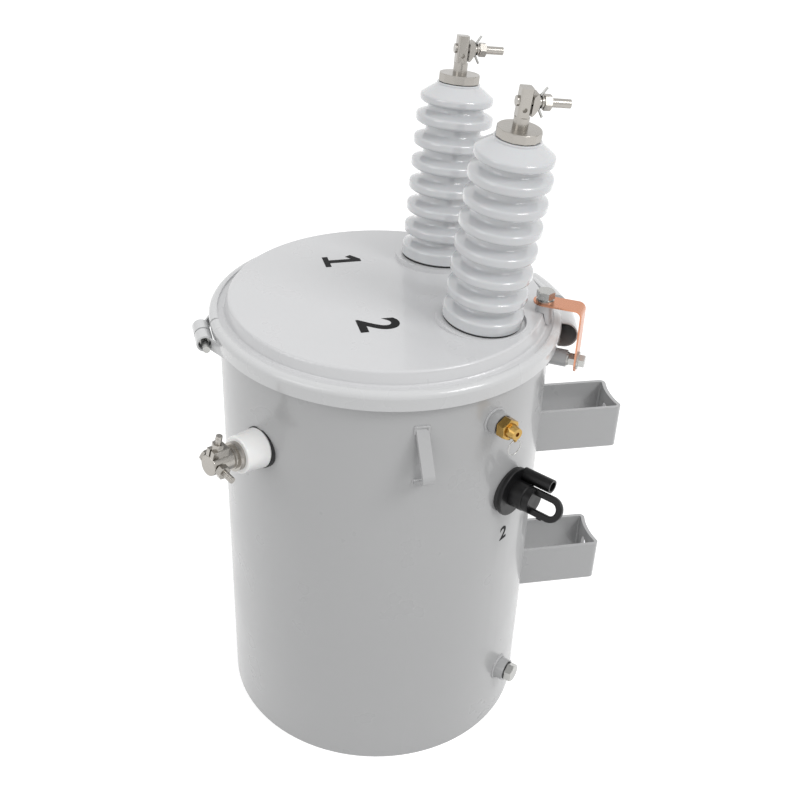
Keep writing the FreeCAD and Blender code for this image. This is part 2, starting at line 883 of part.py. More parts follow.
def make_band():
    right_gap = d.closure_right_gap
    left_gap = d.closure_left_gap
    right = d.closure_right_turn
    left = d.closure_left_turn
    spans = {
        "near": (left + left_gap, right - left - left_gap - right_gap),
        "far": (right + right_gap, left - right - left_gap - right_gap + 360),
    }
    reach = closure_bore_reach
    bore_radius = d.closure_bolt_radius + d.bolt_clearance * 2
    right_bore = rod("right_closure_bore", bore_radius, reach, at_azimuth(right, closure_centre),
                     shift(x=closure_bolt_line, y=-reach / 2), ALONG_Y)
    left_bore = rod("left_closure_bore", bore_radius, reach, at_azimuth(left, left_level),
                    shift(x=d.closure_left_line, y=-reach / 2), ALONG_Y)
    for side, (start, sweep) in spans.items():
        ring = swept_ring(f"band_{side}_ring", band_section(), start, sweep)
        if side == "near":
            lug_start = start + sweep - d.closure_right_lug
            lug = closure_lug("near_right_lug", lug_start, d.closure_right_lug, False)
            barrel, room = flared_barrel("near_barrel", 1)
        else:
            lug = closure_lug("far_right_lug", start, d.closure_right_lug, True)
            barrel, room = flared_barrel("far_barrel", -1)
        whole = fuse(f"band_{side}_whole", [ring, lug, barrel])
        node(f"band_half_{side}", cut(f"band_half_{side}", whole, [right_bore, left_bore, room]))
    make_closure_bolts()


def make_closure_bolts():
    head_edge = closure_bolt_line + d.closure_bolt_flats / math.sqrt(3)
    right_face = head_edge * sine(d.closure_right_gap + d.closure_end_turn) + d.seat_gap
    left_face = left_parting + d.barrel_end + d.seat_gap
    joints = (
        ("right", d.closure_right_turn, closure_centre, closure_bolt_line, right_face, d.closure_bolt_tail,
         d.closure_bolt_flats, -1),
        ("left", d.closure_left_turn, left_level, d.closure_left_line, left_face, d.left_bolt_tail,
         d.left_bolt_flats, 1),
    )
    bolts = []
    nuts = []
    for name, turn, level, line, face, tail, flats, nut_side in joints:
        # The head seats on one half's end plate and the nut on the other's.
        frame = [at_azimuth(turn, level), shift(x=line, axis=(0, 0, 1), angle=0 if nut_side < 0 else 180)]
        head = hexagon(f"{name}_closure_head", flats, d.closure_nut_height)
        place(head, shift(y=face), ALONG_Y)
        length = face * 2 + d.closure_nut_height + tail
        shank = rod(f"{name}_closure_shank", d.closure_bolt_radius, length,
                    shift(y=face - length), ALONG_Y)
        bolts.append(place(fuse(f"{name}_closure_bolt", [head, shank]), *frame))
        bore = d.closure_bolt_radius + d.thread_clearance
        nut = hexagon(f"{name}_closure_nut", flats, d.closure_nut_height, bore, under=True)
        nuts.append(place(nut, *frame, shift(y=-face - d.closure_nut_height), ALONG_Y))
    node("band_bolts", group("band_bolts", bolts + nuts))


# High-voltage bushings
def rim(centre, radius, half, slope):
    # One shed's rim, from its under side to the start of its upper slope.
    edge = d.hv_rim_edge
    line = radius - edge
    under = d.hv_under_slope
    return [
        (line - edge * sine(under), centre - half + edge - edge * cosine(under), edge),
        (radius, centre - half + edge),
        (radius, centre + half - edge, edge),
        (line + edge * sine(slope), centre + half - edge + edge * cosine(slope)),
    ]


def hollow(start, slope, side):
    # Where a shed's slope meets the core: the slope's end and the core's start, side 1 above, -1 below.
    fillet = d.hv_hollow_radius
    x = d.hv_core_radius + fillet * (1 - side * sine(slope))
    z = start[1] + (start[0] - x) * sine(slope) / cosine(slope)
    return (x, z), (d.hv_core_radius, z + side * fillet * cosine(slope))


def porcelain_outline():
    foot = d.hv_gasket_sheet
    corner = d.hv_base_corner
    radius = d.hv_shed_radius
    fillet = d.hv_hollow_radius
    slope = d.hv_shed_slope
    outline = [
        (d.hv_bore_radius, -d.hv_shank_depth),
        (d.hv_shank_radius, -d.hv_shank_depth),
        (d.hv_shank_radius, foot),
        (radius - corner, foot, corner),
        (radius, foot + corner),
    ]
    outline += rim(d.hv_base_top - d.hv_shed_half, radius, d.hv_shed_half, slope)[2:]
    for index in range(int(d.hv_shed_count.value) + 1):
        last = index == int(d.hv_shed_count.value)
        slope_end, core_start = hollow(outline[-1], slope, 1)
        if last:
            edge = rim(d.hv_cap_shed_centre, d.hv_cap_shed_radius, d.hv_cap_shed_half, d.hv_cap_slope)
        else:
            edge = rim(d.hv_first_shed + d.hv_shed_pitch * index, radius, d.hv_shed_half, slope)
        under_end, core_end = hollow(edge[0], d.hv_under_slope, -1)
        outline += [
            (*slope_end, -fillet),
            core_start,
            (*core_end, -fillet),
            under_end,
            *edge,
        ]
    rise = (outline[-1][0] - d.hv_neck_radius) * sine(d.hv_cap_slope) / cosine(d.hv_cap_slope)
    outline += [
        (d.hv_neck_radius, outline[-1][1] + rise),
        (d.hv_neck_radius, d.hv_neck_height - d.hv_neck_corner),
        (d.hv_neck_radius - d.hv_neck_corner, d.hv_neck_height),
        (d.hv_bore_radius, d.hv_neck_height),
    ]
    return outline


nut_bottom = d.hv_neck_height + d.hv_seal_sheet
nut_top = nut_bottom + d.cap_nut_height
body_bottom = nut_top + d.stem_height
body_top = body_bottom + d.body_height
bolt_level = body_bottom + d.body_height / 2 + d.body_fillet / 3


def ring_solid(name, radius, bore, low, high):
    return cut(name, rod(f"{name}_disc", radius, high - low, shift(z=low)),
               [rod(f"{name}_bore", bore, high - low, shift(z=low))])


def make_hv_bushing(number):
    frame = seats[number].frame
    porcelain = turned(f"hv_bushing_{number}", porcelain_outline())
    node(f"hv_bushing_{number}", place(porcelain, frame))
    sides = d.cap_nut_sides
    corner = d.cap_nut_corner_radius
    tag = f"cap_nut_{number}"
    blank = prism(f"{tag}_blank", sides, corner, d.cap_nut_height, shift(z=nut_bottom))
    flat_edge = corner - d.cap_nut_chamfer
    chamfer = cone(f"{tag}_chamfer", flat_edge + d.cap_nut_height, flat_edge, d.cap_nut_height,
                   shift(z=nut_bottom))
    stem_bore = rod(f"{tag}_bore", d.stem_radius + d.thread_clearance, d.cap_nut_height * 2,
                    shift(z=nut_bottom - d.cap_nut_height / 2))
    cap = cut(tag, common(f"{tag}_shape", blank, chamfer), [stem_bore])
    make_terminal(number, frame)
    return place(cap, frame), make_jaw(number, frame)


def make_terminal(number, frame):
    tag = f"terminal_{number}"
    depth = d.body_depth
    body = padded(f"{tag}_body", "XY_Plane", [
        rectangle(-depth / 2, -d.body_back, depth / 2, d.body_front, d.body_fillet)
    ], d.body_height, offset=body_bottom)
    slope = block(f"{tag}_slope", d.body_slope * 2, d.body_back * 4, d.body_slope * 2,
                  shift(depth / 2 - d.body_slope, -d.body_back * 2, body_top, axis=(0, 1, 0), angle=45))
    stem = rod(f"{tag}_stem", d.stem_radius, body_bottom - nut_bottom, shift(z=nut_bottom))
    side = (d.body_front - d.body_back) / 2
    holes = []
    for up in (-1, 1):
        holes.append(rod(f"{tag}_hole_{up + 2}", d.body_hole_radius, d.body_hole_depth * 2,
                         shift(depth / 2 - d.body_hole_depth, side, bolt_level + up * d.body_hole_spread), ALONG_X))
    holes.append(rod(f"{tag}_top_hole", d.body_top_hole_radius, depth,
                     shift(0, side, body_top - d.body_slope / 2), ALONG_X))
    bolt_hole = rod(f"{tag}_bolt_hole", d.clamp_bolt_radius + d.thread_clearance, d.body_back * 4,
                    shift(0, -d.body_back * 2, bolt_level), ALONG_Y)
    stud_hole = rod(f"{tag}_stud_hole", d.hv_stud_radius + d.thread_clearance, d.hv_stud_above + d.cap_nut_height,
                    shift(z=nut_bottom - d.seat_gap))
    solid = cut(tag, fuse(f"{tag}_blank", [body, stem]), holes + [slope, bolt_hole, stud_hole])
    node(f"hv_terminal_{number}", place(solid, frame))


jaw_front = d.body_front + d.jaw_gap
jaw_back = jaw_front + d.jaw_thick
clip_line = jaw_back + d.seat_gap + d.clip_wire
washer_front = clip_line + d.clip_wire + d.seat_gap
nut_front = washer_front + d.lock_washer_sheet + d.seat_gap


def make_jaw(number, frame):
    tag = f"jaw_{number}"
    depth = d.body_depth
    height = d.body_height - d.body_fillet
    plain = block(f"{tag}_block", depth, d.jaw_thick, height,
                  shift(-depth / 2, jaw_front, body_top - height))
    back = rod(f"{tag}_back", d.jaw_back_radius, depth,
               shift(-depth / 2, jaw_back - d.jaw_back_radius, bolt_level), ALONG_X)
    notch = block(f"{tag}_notch", depth * 2, d.jaw_notch * 2, d.jaw_notch * 2,
                  shift(-depth, jaw_front, body_top - d.jaw_notch * 2, axis=(1, 0, 0), angle=45))
    bore = rod(f"{tag}_bore", d.clamp_bolt_radius + d.bolt_clearance, d.jaw_thick * 3,
               shift(0, jaw_front - d.jaw_thick, bolt_level), ALONG_Y)
    solid = cut(tag, common(f"{tag}_shape", plain, back), [notch, bore])
    return place(solid, frame)


def clip_path():
    loop = d.clip_loop_radius.value
    y = clip_line.value
    z = bolt_level.value
    out = y + d.clip_leg_run.value
    rise = loop + d.clip_leg_rise.value
    V = FreeCAD.Vector
    upper = Part.LineSegment(V(0, out, z + rise), V(0, y, z + loop)).toShape()
    middle = Part.Arc(V(0, y, z + loop), V(-loop, y, z), V(0, y, z - loop)).toShape()
    lower = Part.LineSegment(V(0, y, z - loop), V(0, out, z - rise)).toShape()
    return Part.Wire([upper, middle, lower])


def make_clip(name, frame):
    path = clip_path()
    start = path.Vertexes[0].Point
    along = path.Vertexes[1].Point - start
    section = Part.Wire([Part.Circle(start, along, d.clip_wire.value).toShape()])
    pipe = path.makePipeShell([section], True, False, 2)
    clip = doc.addObject("Part::Feature", name)
    clip.Shape = pipe
    return place(clip, frame)


def make_hv_hardware(lv_ring):
    groups = {name: [] for name in (
        "hv_base_gaskets", "hv_top_seals", "hv_studs", "bushing_clamp_rings",
        "hv_clamp_bolts", "hv_clamp_nuts", "hv_jaw_clips")}
    for number, seat in seats.items():
        frame = seat.frame

        def add(kind, solid, *steps):
            groups[kind].append(place(solid, frame, *steps))

        add("hv_base_gaskets", ring_solid(f"base_gasket_{number}", d.hv_gasket_radius,
                                          d.hv_shank_radius + d.bolt_clearance, 0, d.hv_gasket_sheet))
        add("hv_top_seals", ring_solid(f"top_seal_{number}", d.hv_seal_radius,
                                       d.stem_radius + d.bolt_clearance, d.hv_neck_height, nut_bottom))
        stud_low = -d.hv_shank_depth - d.hv_stud_below
        stud_high = nut_top + d.hv_stud_above - d.cap_nut_height
        add("hv_studs", rod(f"stud_{number}", d.hv_stud_radius, stud_high - stud_low), shift(z=stud_low))
        lower_nut = hexagon(f"stud_nut_{number}", d.stud_nut_flats, d.stud_nut_height,
                            d.hv_stud_radius + d.thread_clearance, under=True)
        add("hv_studs", lower_nut, shift(z=-d.hv_shank_depth - d.stud_nut_height))
        add("bushing_clamp_rings", ring_solid(f"clamp_ring_{number}", d.clamp_ring_radius,
                                         d.hv_shank_radius + d.thread_clearance,
                                         -d.cover_sheet - d.clamp_ring_height, -d.cover_sheet))
        head = rod(f"clamp_head_{number}", d.clamp_bolt_head_radius, d.clamp_bolt_head,
                   shift(0, -d.body_back - d.clamp_bolt_head, bolt_level), ALONG_Y)
        shank = rod(f"clamp_shank_{number}", d.clamp_bolt_radius, d.body_back + d.clamp_bolt_reach,
                    shift(0, -d.body_back, bolt_level), ALONG_Y)
        add("hv_clamp_bolts", fuse(f"clamp_bolt_{number}", [head, shank]))
        washer = ring_solid(f"lock_washer_{number}", d.lock_washer_radius,
                            d.clamp_bolt_radius + d.thread_clearance, 0, d.lock_washer_sheet)
        add("hv_clamp_nuts", washer, shift(0, washer_front, bolt_level), ALONG_Y)
        nut = hexagon(f"clamp_nut_{number}", d.clamp_nut_flats, d.clamp_nut_height,
                      d.clamp_bolt_radius + d.thread_clearance, under=True)
        add("hv_clamp_nuts", nut, shift(0, nut_front, bolt_level), ALONG_Y)
        groups["hv_jaw_clips"].append(make_clip(f"jaw_clip_{number}", frame))
    groups["bushing_clamp_rings"].append(lv_ring)
    for name, parts in groups.items():
        node(name, group(name, parts))


# Low-voltage bushing
lv_seat = d.tank_radius + d.lv_gasket_sheet
lv_face = lv_seat + d.lv_length
lv_collar_end = lv_face + d.seat_gap + d.lv_collar_length
lv_step_end = lv_collar_end + d.lv_step_length
lv_bar_end = lv_step_end + d.lv_bar_length


def saddle_pad(name, radius, bore, face, frame):
    # A gasket that is flat outside and follows the round tank inside.
    disc = rod(f"{name}_disc", radius, face - wall_inside + d.tank_sheet, frame,
               shift(x=wall_inside - d.tank_sheet), ALONG_X)
    hole = rod(f"{name}_hole", bore, face, frame, ALONG_X)
    drum = rod(f"{name}_drum", tank_face, d.tank_height)
    return cut(name, disc, [hole, drum])


def make_lv_bushing():
    frame = lv_frame
    shank_fit = d.lv_shank_radius + d.bolt_clearance
    gasket = saddle_pad("lv_gasket", d.lv_gasket_radius, shank_fit, lv_seat, frame)
    node("lv_gasket", gasket)
    bore = d.lv_stud_radius + d.bolt_clearance
    shank_end = wall_inside - d.lv_shank_depth
    porcelain = turned("lv_bushing", [
        (shank_end, bore),
        (lv_face, bore),
        (lv_face, d.lv_face_radius - d.lv_corner, d.lv_corner),
        (lv_face - d.lv_corner, d.lv_face_radius),
        (lv_seat + d.lv_corner, d.lv_base_radius),
        (lv_seat, d.lv_base_radius - d.lv_corner / 2),
        (lv_seat, d.lv_shank_radius),
        (shank_end, d.lv_shank_radius),
    ], "H_Axis")
    node("lv_bushing", place(porcelain, frame))
    start = lv_face + d.seat_gap
    terminal = turned("lv_terminal_turned", [
        (shank_end - d.lv_stud_depth, 0),
        (lv_bar_end, 0),
        (lv_bar_end, d.lv_bar_radius - d.lv_bar_corner, d.lv_bar_corner),
        (lv_bar_end - d.lv_bar_corner, d.lv_bar_radius),
        (lv_step_end, d.lv_bar_radius),
        (lv_step_end, d.lv_step_radius),
        (lv_collar_end, d.lv_step_radius),
        (lv_collar_end, d.lv_collar_radius),
        (start, d.lv_collar_radius),
        (start, d.lv_stud_radius),
        (shank_end - d.lv_stud_depth, d.lv_stud_radius),
    ], "H_Axis")
    hole = d.lv_bolt_radius + d.thread_clearance
    bolt_x = lv_bar_end - d.lv_bolt_back
    reach = d.lv_bar_radius * 3
    rolled = shift(axis=(1, 0, 0), angle=-d.lv_roll)
    cross_hole = rod("lv_cross_hole", hole, reach, rolled, shift(bolt_x, -reach / 2, 0), ALONG_Y)
    stud_hole = rod("lv_upright_hole", hole, reach, rolled, shift(bolt_x, 0, d.lv_stud_floor))
    solid = cut("lv_terminal", terminal, [cross_hole, stud_hole])
    node("lv_terminal", place(solid, frame))
    bar_fit = rod("saddle_bar_room", d.lv_bar_radius + d.seat_gap, d.lv_bar_length * 2,
                  shift(x=lv_bar_end - d.lv_bar_length), ALONG_X)
    stud_fit = rod("saddle_stud_room", d.lv_bolt_radius + d.bolt_clearance, reach, shift(bolt_x, 0, 0))
    plain = block("saddle_block", d.saddle_length, d.saddle_width, d.saddle_top - d.saddle_bottom,
                  shift(lv_bar_end - d.saddle_length, -d.saddle_width / 2, d.saddle_bottom))
    slot = block("saddle_slot", d.saddle_slot_depth, d.saddle_slot, d.saddle_top,
                 shift(lv_bar_end - d.saddle_slot_depth / 2, -d.saddle_slot / 2, d.saddle_bottom))
    node("lv_saddle", place(cut("lv_saddle", plain, [bar_fit, stud_fit, slot]), frame, rolled))
    seat = d.lv_bar_radius + d.seat_gap
    cross_head = hexagon("lv_cross_head", d.lv_bolt_flats, d.lv_head_height)
    place(cross_head, shift(bolt_x, -seat, 0), shift(axis=(1, 0, 0), angle=90))
    cross_shank = rod("lv_cross_shank", d.lv_bolt_radius, seat + d.lv_cross_reach,
                      shift(bolt_x, -seat, 0), ALONG_Y)
    cross_bolt = place(fuse("lv_cross_bolt", [cross_head, cross_shank]), frame, rolled)
    stud = rod("lv_upright_stud", d.lv_bolt_radius, d.lv_upright_reach - d.lv_stud_floor,
               frame, rolled, shift(bolt_x, 0, d.lv_stud_floor))
    thread = d.lv_bolt_radius + d.thread_clearance
    cross_nut = hexagon("lv_cross_nut", d.lv_bolt_flats, d.lv_nut_height, thread, under=True)
    place(cross_nut, frame, rolled, shift(bolt_x, seat, 0), ALONG_Y)
    stud_nut = hexagon("lv_upright_nut", d.lv_stud_nut_flats, d.lv_nut_height, thread, under=True)
    place(stud_nut, frame, rolled, shift(bolt_x, 0, d.saddle_top))
    node("lv_clamp_bolts", group("lv_clamp_bolts", [cross_bolt, stud, cross_nut, stud_nut]))
    ring = rod("lv_ring_blank", d.lv_ring_radius, d.lv_ring_height, shift(x=wall_inside - d.lv_ring_height
                                                                        - d.lv_gasket_sheet), ALONG_X)
    ring_bore = rod("lv_ring_bore", d.lv_shank_radius + d.thread_clearance, d.tank_radius, ALONG_X)
    return place(cut("lv_clamp_ring", ring, [ring_bore]), frame)


# Lifting lugs
def lug_outline():
    x0 = tank_face
    nose_x = x0 + d.lug_reach
    lug_top = d.tank_height - d.lug_drop
    lug_nose = d.tank_height - d.lug_nose_drop
    lug_foot = d.tank_height - d.lug_foot_drop
    drop = d.lug_nose_drop - d.lug_drop
    rise = d.lug_foot_drop - d.lug_nose_drop
    upper = d.lug_plate * root(d.lug_reach * d.lug_reach + drop * drop) / d.lug_reach
    lower = d.lug_plate * root(d.lug_reach * d.lug_reach + rise * rise) / d.lug_reach
    inner_top = lug_top - upper
    inner_foot = lug_foot + lower
    inner_reach = (inner_top - inner_foot) * d.lug_reach / (drop + rise)
    inner_nose = inner_foot + inner_reach * rise / d.lug_reach
    buried = x0 - d.lug_root
    return [
        (buried, lug_foot - d.lug_root * rise / d.lug_reach),
        (nose_x, lug_nose),
        (buried, lug_top + d.lug_root * drop / d.lug_reach),
        (buried, inner_top + d.lug_root * drop / d.lug_reach),
        (x0 + inner_reach, inner_nose),
        (buried, inner_foot - d.lug_root * rise / d.lug_reach),
    ]


def make_lugs():
    nose_line = tank_face.value + d.lug_reach.value
    for number, turn in ((1, d.lug_turn), (2, d.lug_turn + 180)):
        label = f"lifting_lug_{number}"
        body = padded(f"{label}_bent", "XZ_Plane", [lug_outline()], d.lug_width, symmetric=True)
        fillet_edges(body, f"{label}_nose", d.lug_nose_radius,
                     lambda middle, edge: middle.x > nose_line - 0.01)
        eye_line = lug_outline()[4][0].value
        fillet_edges(body, f"{label}_eye", d.lug_nose_radius - d.lug_plate,
                     lambda middle, edge: abs(middle.x - eye_line) < 0.01)
        place(body, at_azimuth(turn), shift(x=tank_face, angle=d.lug_twist), shift(x=-tank_face))
        node(label, cut(label, body, [rod(f"{label}_drum", tank_face, d.tank_height)]))


# Pole brackets
def bracket_outlines():
    half = d.bracket_width / 2
    inner_half = half - d.bracket_plate
    back = root(tank_face * tank_face - half * half)
    inner_radius = tank_face + d.bracket_plate
    inner_back = root(inner_radius * inner_radius - inner_half * inner_half)
    front = d.bracket_reach
    seat = d.pole_seat_radius
    inner_seat = seat + d.bracket_plate
    centre = front + root(seat * seat - half * half)
    inner_front = centre - root(inner_seat * inner_seat - inner_half * inner_half)
    outer = [(half, back), (half, front, -seat), (-half, front), (-half, back, -tank_face)]
    inner = [
        (inner_half, inner_back),
        (inner_half, inner_front, -inner_seat),
        (-inner_half, inner_front),
        (-inner_half, inner_back, -inner_radius),
    ]
    return [outer, inner]


def make_brackets():
    half = d.bracket_width.value / 2
    for label, centre in (
        ("pole_bracket_lower", d.bracket_lower_centre),
        ("pole_bracket_upper", d.bracket_lower_centre + d.bracket_spacing),
    ):
        low = centre - d.bracket_height / 2
        body = padded(label, "XY_Plane", bracket_outlines(), d.bracket_height, offset=low)

        def standing(edge):
            return abs(edge.tangentAt(edge.FirstParameter).z) > 0.99

        fillet_edges(body, f"{label}_corners", d.bracket_corner,
                     lambda middle, edge: standing(edge) and abs(middle.x) > half - 0.01
                     and middle.y > d.tank_radius.value * 1.1)
        inner_half = half - d.bracket_plate.value
        fillet_edges(body, f"{label}_inner_corners", d.bracket_corner - d.bracket_plate,
                     lambda middle, edge: standing(edge) and abs(abs(middle.x) - inner_half) < 0.01)
        slot_half = d.slot_width / 2
        slot_rise = d.slot_height / 2 - slot_half
        start = d.bracket_reach - d.bracket_plate * 3
        slot = new_sketch(body, f"{label}_slot", "XZ_Plane", [[
            (slot_half, centre - slot_rise),
            (slot_half, centre + slot_rise, slot_half),
            (-slot_half, centre + slot_rise),
            (-slot_half, centre - slot_rise, slot_half),
        ]], offset=-start)
        pocket = body.newObject("PartDesign::Pocket", f"{label}_slot_cut")
        pocket.Profile = slot
        pocket.setExpression("Length", (d.bracket_plate * 5).formula)
        node(label, body)


# Pressure relief valve
coupling_face = d.tank_radius + d.coupling_out
relief_hex_start = coupling_face + d.seal_sheet
relief_hex_end = relief_hex_start + d.relief_hex_height
relief_seat_face = relief_hex_end - d.relief_roof - d.relief_seat_depth
relief_cap_start = relief_hex_end + d.relief_cap_gap
relief_cap_end = relief_cap_start + d.relief_cap_length
ring_line = relief_cap_end - d.ring_eye_back


def make_relief():
    frame = at_azimuth(d.relief_turn, relief_height)
    inside = wall_inside - d.coupling_in
    coupling = turned("relief_coupling", [
        (inside, d.coupling_bore),
        (coupling_face, d.coupling_bore),
        (coupling_face, d.coupling_radius),
        (inside, d.coupling_radius),
    ], "H_Axis")
    node("relief_coupling", place(coupling, frame))
    shank_radius = d.coupling_bore - d.thread_clearance
    seal = turned("relief_seal", [
        (coupling_face, d.coupling_bore),
        (relief_hex_start, d.coupling_bore),
        (relief_hex_start, d.coupling_radius - d.seal_sheet),
        (coupling_face, d.coupling_radius - d.seal_sheet),
    ], "H_Axis")
    node("relief_seal", place(seal, frame))
    shank = rod("relief_shank", shank_radius, relief_hex_start - inside, shift(x=inside), ALONG_X)
    head = hexagon("relief_hex", d.relief_hex_flats, d.relief_hex_height)
    place(head, shift(x=relief_hex_start), ALONG_X)
    chamber = rod("relief_chamber", d.relief_chamber_radius, d.relief_seat_depth, shift(x=relief_seat_face), ALONG_X)
    port = rod("relief_port", d.relief_seat_radius, d.tank_radius, shift(x=relief_seat_face - d.tank_radius),
               ALONG_X)
    stem_hole = rod("relief_stem_hole", d.relief_stem_radius + d.switch_shaft_fit, d.relief_roof * 3,
                    shift(x=relief_hex_end - d.relief_roof * 2), ALONG_X)
    body = cut("relief_valve_body", fuse("relief_body_blank", [shank, head]), [chamber, port, stem_hole])
    node("relief_valve_body", place(body, frame))
    disc = rod("relief_disc", d.poppet_radius, d.poppet_sheet, shift(x=relief_seat_face), ALONG_X)
    stem_end = relief_cap_end - d.relief_vent_depth - d.relief_cap_gap
    stem = rod("relief_stem", d.relief_stem_radius, stem_end - relief_seat_face, shift(x=relief_seat_face), ALONG_X)
    node("relief_poppet", place(fuse("relief_poppet", [disc, stem]), frame))
    blank = prism("relief_cap_blank", d.relief_cap_sides, d.relief_cap_radius * 1.04, d.relief_cap_length,
                  shift(x=relief_cap_start), ALONG_X)
    taper = cone("relief_cap_taper", d.relief_cap_radius * 1.04, d.relief_cap_end_radius, d.relief_cap_length,
                 shift(x=relief_cap_start), ALONG_X)
    vent = rod("relief_vent", d.relief_vent_radius, d.relief_vent_depth * 2,
               shift(x=relief_cap_end - d.relief_vent_depth), ALONG_X)
    bore = rod("relief_cap_bore", d.relief_stem_radius + d.thread_clearance, d.relief_cap_length * 2,
               shift(x=relief_cap_start - d.relief_cap_length), ALONG_X)
    eye_half = d.ring_eye_radius + d.ring_eye_edge
    eye = rod("relief_eye", d.ring_eye_radius, d.ring_eye_plate * 2,
              shift(ring_line, -d.ring_eye_plate, -d.ring_eye_drop), ALONG_Y)
    eye_plate = block("relief_eye_plate", eye_half * 2, d.ring_eye_plate, d.ring_eye_drop - d.poppet_radius,
                      shift(ring_line - eye_half, -d.ring_eye_plate / 2, -d.ring_eye_drop))
    eye_end = rod("relief_eye_end", eye_half, d.ring_eye_plate,
                  shift(ring_line, -d.ring_eye_plate / 2, -d.ring_eye_drop), ALONG_Y)
    nose = fuse("relief_cap_blank_eye", [common("relief_cap_shape", blank, taper), eye_plate, eye_end])
    cap = cut("relief_cap", nose, [vent, bore, eye])
    node("relief_cap", place(cap, frame))
    spring_start = relief_seat_face + d.poppet_sheet + d.relief_spring_wire
    node("relief_spring", place(make_spring(spring_start), frame, shift(x=spring_start), ALONG_X))
    ring = doc.addObject("Part::Torus", "relief_pull_ring")
    ring.setExpression("Radius1", d.ring_radius.formula)
    ring.setExpression("Radius2", d.ring_wire.formula)
    place(ring, frame, shift(ring_line, 0, -d.ring_eye_drop - d.ring_radius, axis=(0, 1, 0), angle=90))
    node("relief_pull_ring", ring)


def make_spring(start):
    # The coil stops short of the chamber roof by the poppet's travel.
    high = relief_hex_end - d.relief_roof - d.relief_spring_wire - d.relief_travel
    spring = doc.addObject("Part::Feature", "relief_spring")
    height = (high - start).value
    helix = Part.makeHelix(height / d.relief_spring_turns.value, height, d.relief_spring_radius.value)
    foot = FreeCAD.Vector(d.relief_spring_radius.value, 0, 0)
    wire = d.relief_spring_wire.value - d.thread_clearance.value
    section = Part.Wire([Part.Circle(foot, FreeCAD.Vector(0, 1, 0), wire).toShape()])
    spring.Shape = Part.Wire(helix.Edges).makePipeShell([section], True, True)
    return spring


# Tap switch
switch_seat = d.tank_radius + d.switch_gasket_sheet
switch_flange_face = switch_seat + d.switch_flange_sheet
switch_hub_face = switch_flange_face + d.switch_hub_length
knob_start = switch_hub_face + d.knob_gap
knob_end = d.tank_radius + d.knob_reach
deck_face = wall_inside - d.deck_depth


def make_switch():
    frame = at_azimuth(d.switch_turn, switch_height)
    shaft_hole = d.switch_shaft_radius + d.switch_shaft_fit
    pad = saddle_pad("switch_gasket", d.switch_flange_radius - d.seal_sheet, d.switch_shank_radius + d.bolt_clearance,
                     switch_seat, frame)
    node("switch_gasket", pad)
    edge = d.switch_flange_edge
    shank_end = wall_inside - d.switch_shank_depth
    core = turned("switch_core", [
        (shank_end, shaft_hole),
        (switch_hub_face, shaft_hole),
        (switch_hub_face, d.switch_hub_radius - edge),
        (switch_hub_face - edge, d.switch_hub_radius),
        (switch_flange_face, d.switch_hub_radius),
        (switch_flange_face, d.switch_flange_radius - edge, edge),
        (switch_flange_face - edge, d.switch_flange_radius),
        (switch_seat, d.switch_flange_radius),
        (switch_seat, d.switch_shank_radius),
        (shank_end, d.switch_shank_radius),
    ], "H_Axis")
    post = rod("switch_post", d.switch_post_radius, d.switch_post_length,
               shift(switch_flange_face - edge / 2, d.switch_post_side, d.switch_post_up), ALONG_X)
    mouth = rod("switch_post_mouth", d.switch_post_radius - d.switch_post_wall, d.switch_post_web * 2,
                shift(switch_flange_face + d.switch_post_length - d.switch_post_web, d.switch_post_side,
                      d.switch_post_up), ALONG_X)
    housing = cut("switch_housing", fuse("switch_housing_blank", [core, post]), [mouth])
    node("switch_housing", place(housing, frame))
    lock = hexagon("switch_lock_nut", d.switch_nut_flats, d.switch_nut_height,
                   d.switch_shank_radius + d.thread_clearance, under=True)
    node("switch_lock_nut", place(lock, frame, shift(x=wall_inside - d.switch_nut_height - d.switch_gasket_sheet),
                                  ALONG_X))
    make_knob(frame)
    shaft_start = deck_face - d.deck_sheet * 1.5
    shaft_length = knob_start + d.knob_disc / 2 - shaft_start
    node("switch_shaft", rod("switch_shaft", d.switch_shaft_radius, shaft_length,
                             frame, shift(x=shaft_start), ALONG_X))
    deck = rod("deck_disc", d.deck_radius, d.deck_sheet, shift(x=deck_face - d.deck_sheet), ALONG_X)
    studs = []
    for index in range(int(d.deck_stud_count.value)):
        angle = d.deck_stud_step * (index - 2)
        studs.append(rod(f"deck_stud_{index + 1}", d.deck_stud_radius, d.deck_sheet * 2,
                         shift(deck_face - d.deck_sheet * 1.5, d.deck_stud_pitch * sine(angle),
                               d.deck_stud_pitch * cosine(angle)), ALONG_X))
    sleeve = rod("deck_sleeve", d.switch_shank_radius, shank_end - deck_face, shift(x=deck_face), ALONG_X)
    shaft_room = rod("deck_shaft_room", shaft_hole, d.tank_radius, ALONG_X)
    deck_piece = cut("switch_deck", fuse("deck_blank", [deck, sleeve] + studs), [shaft_room])
    node("switch_deck", place(deck_piece, frame))


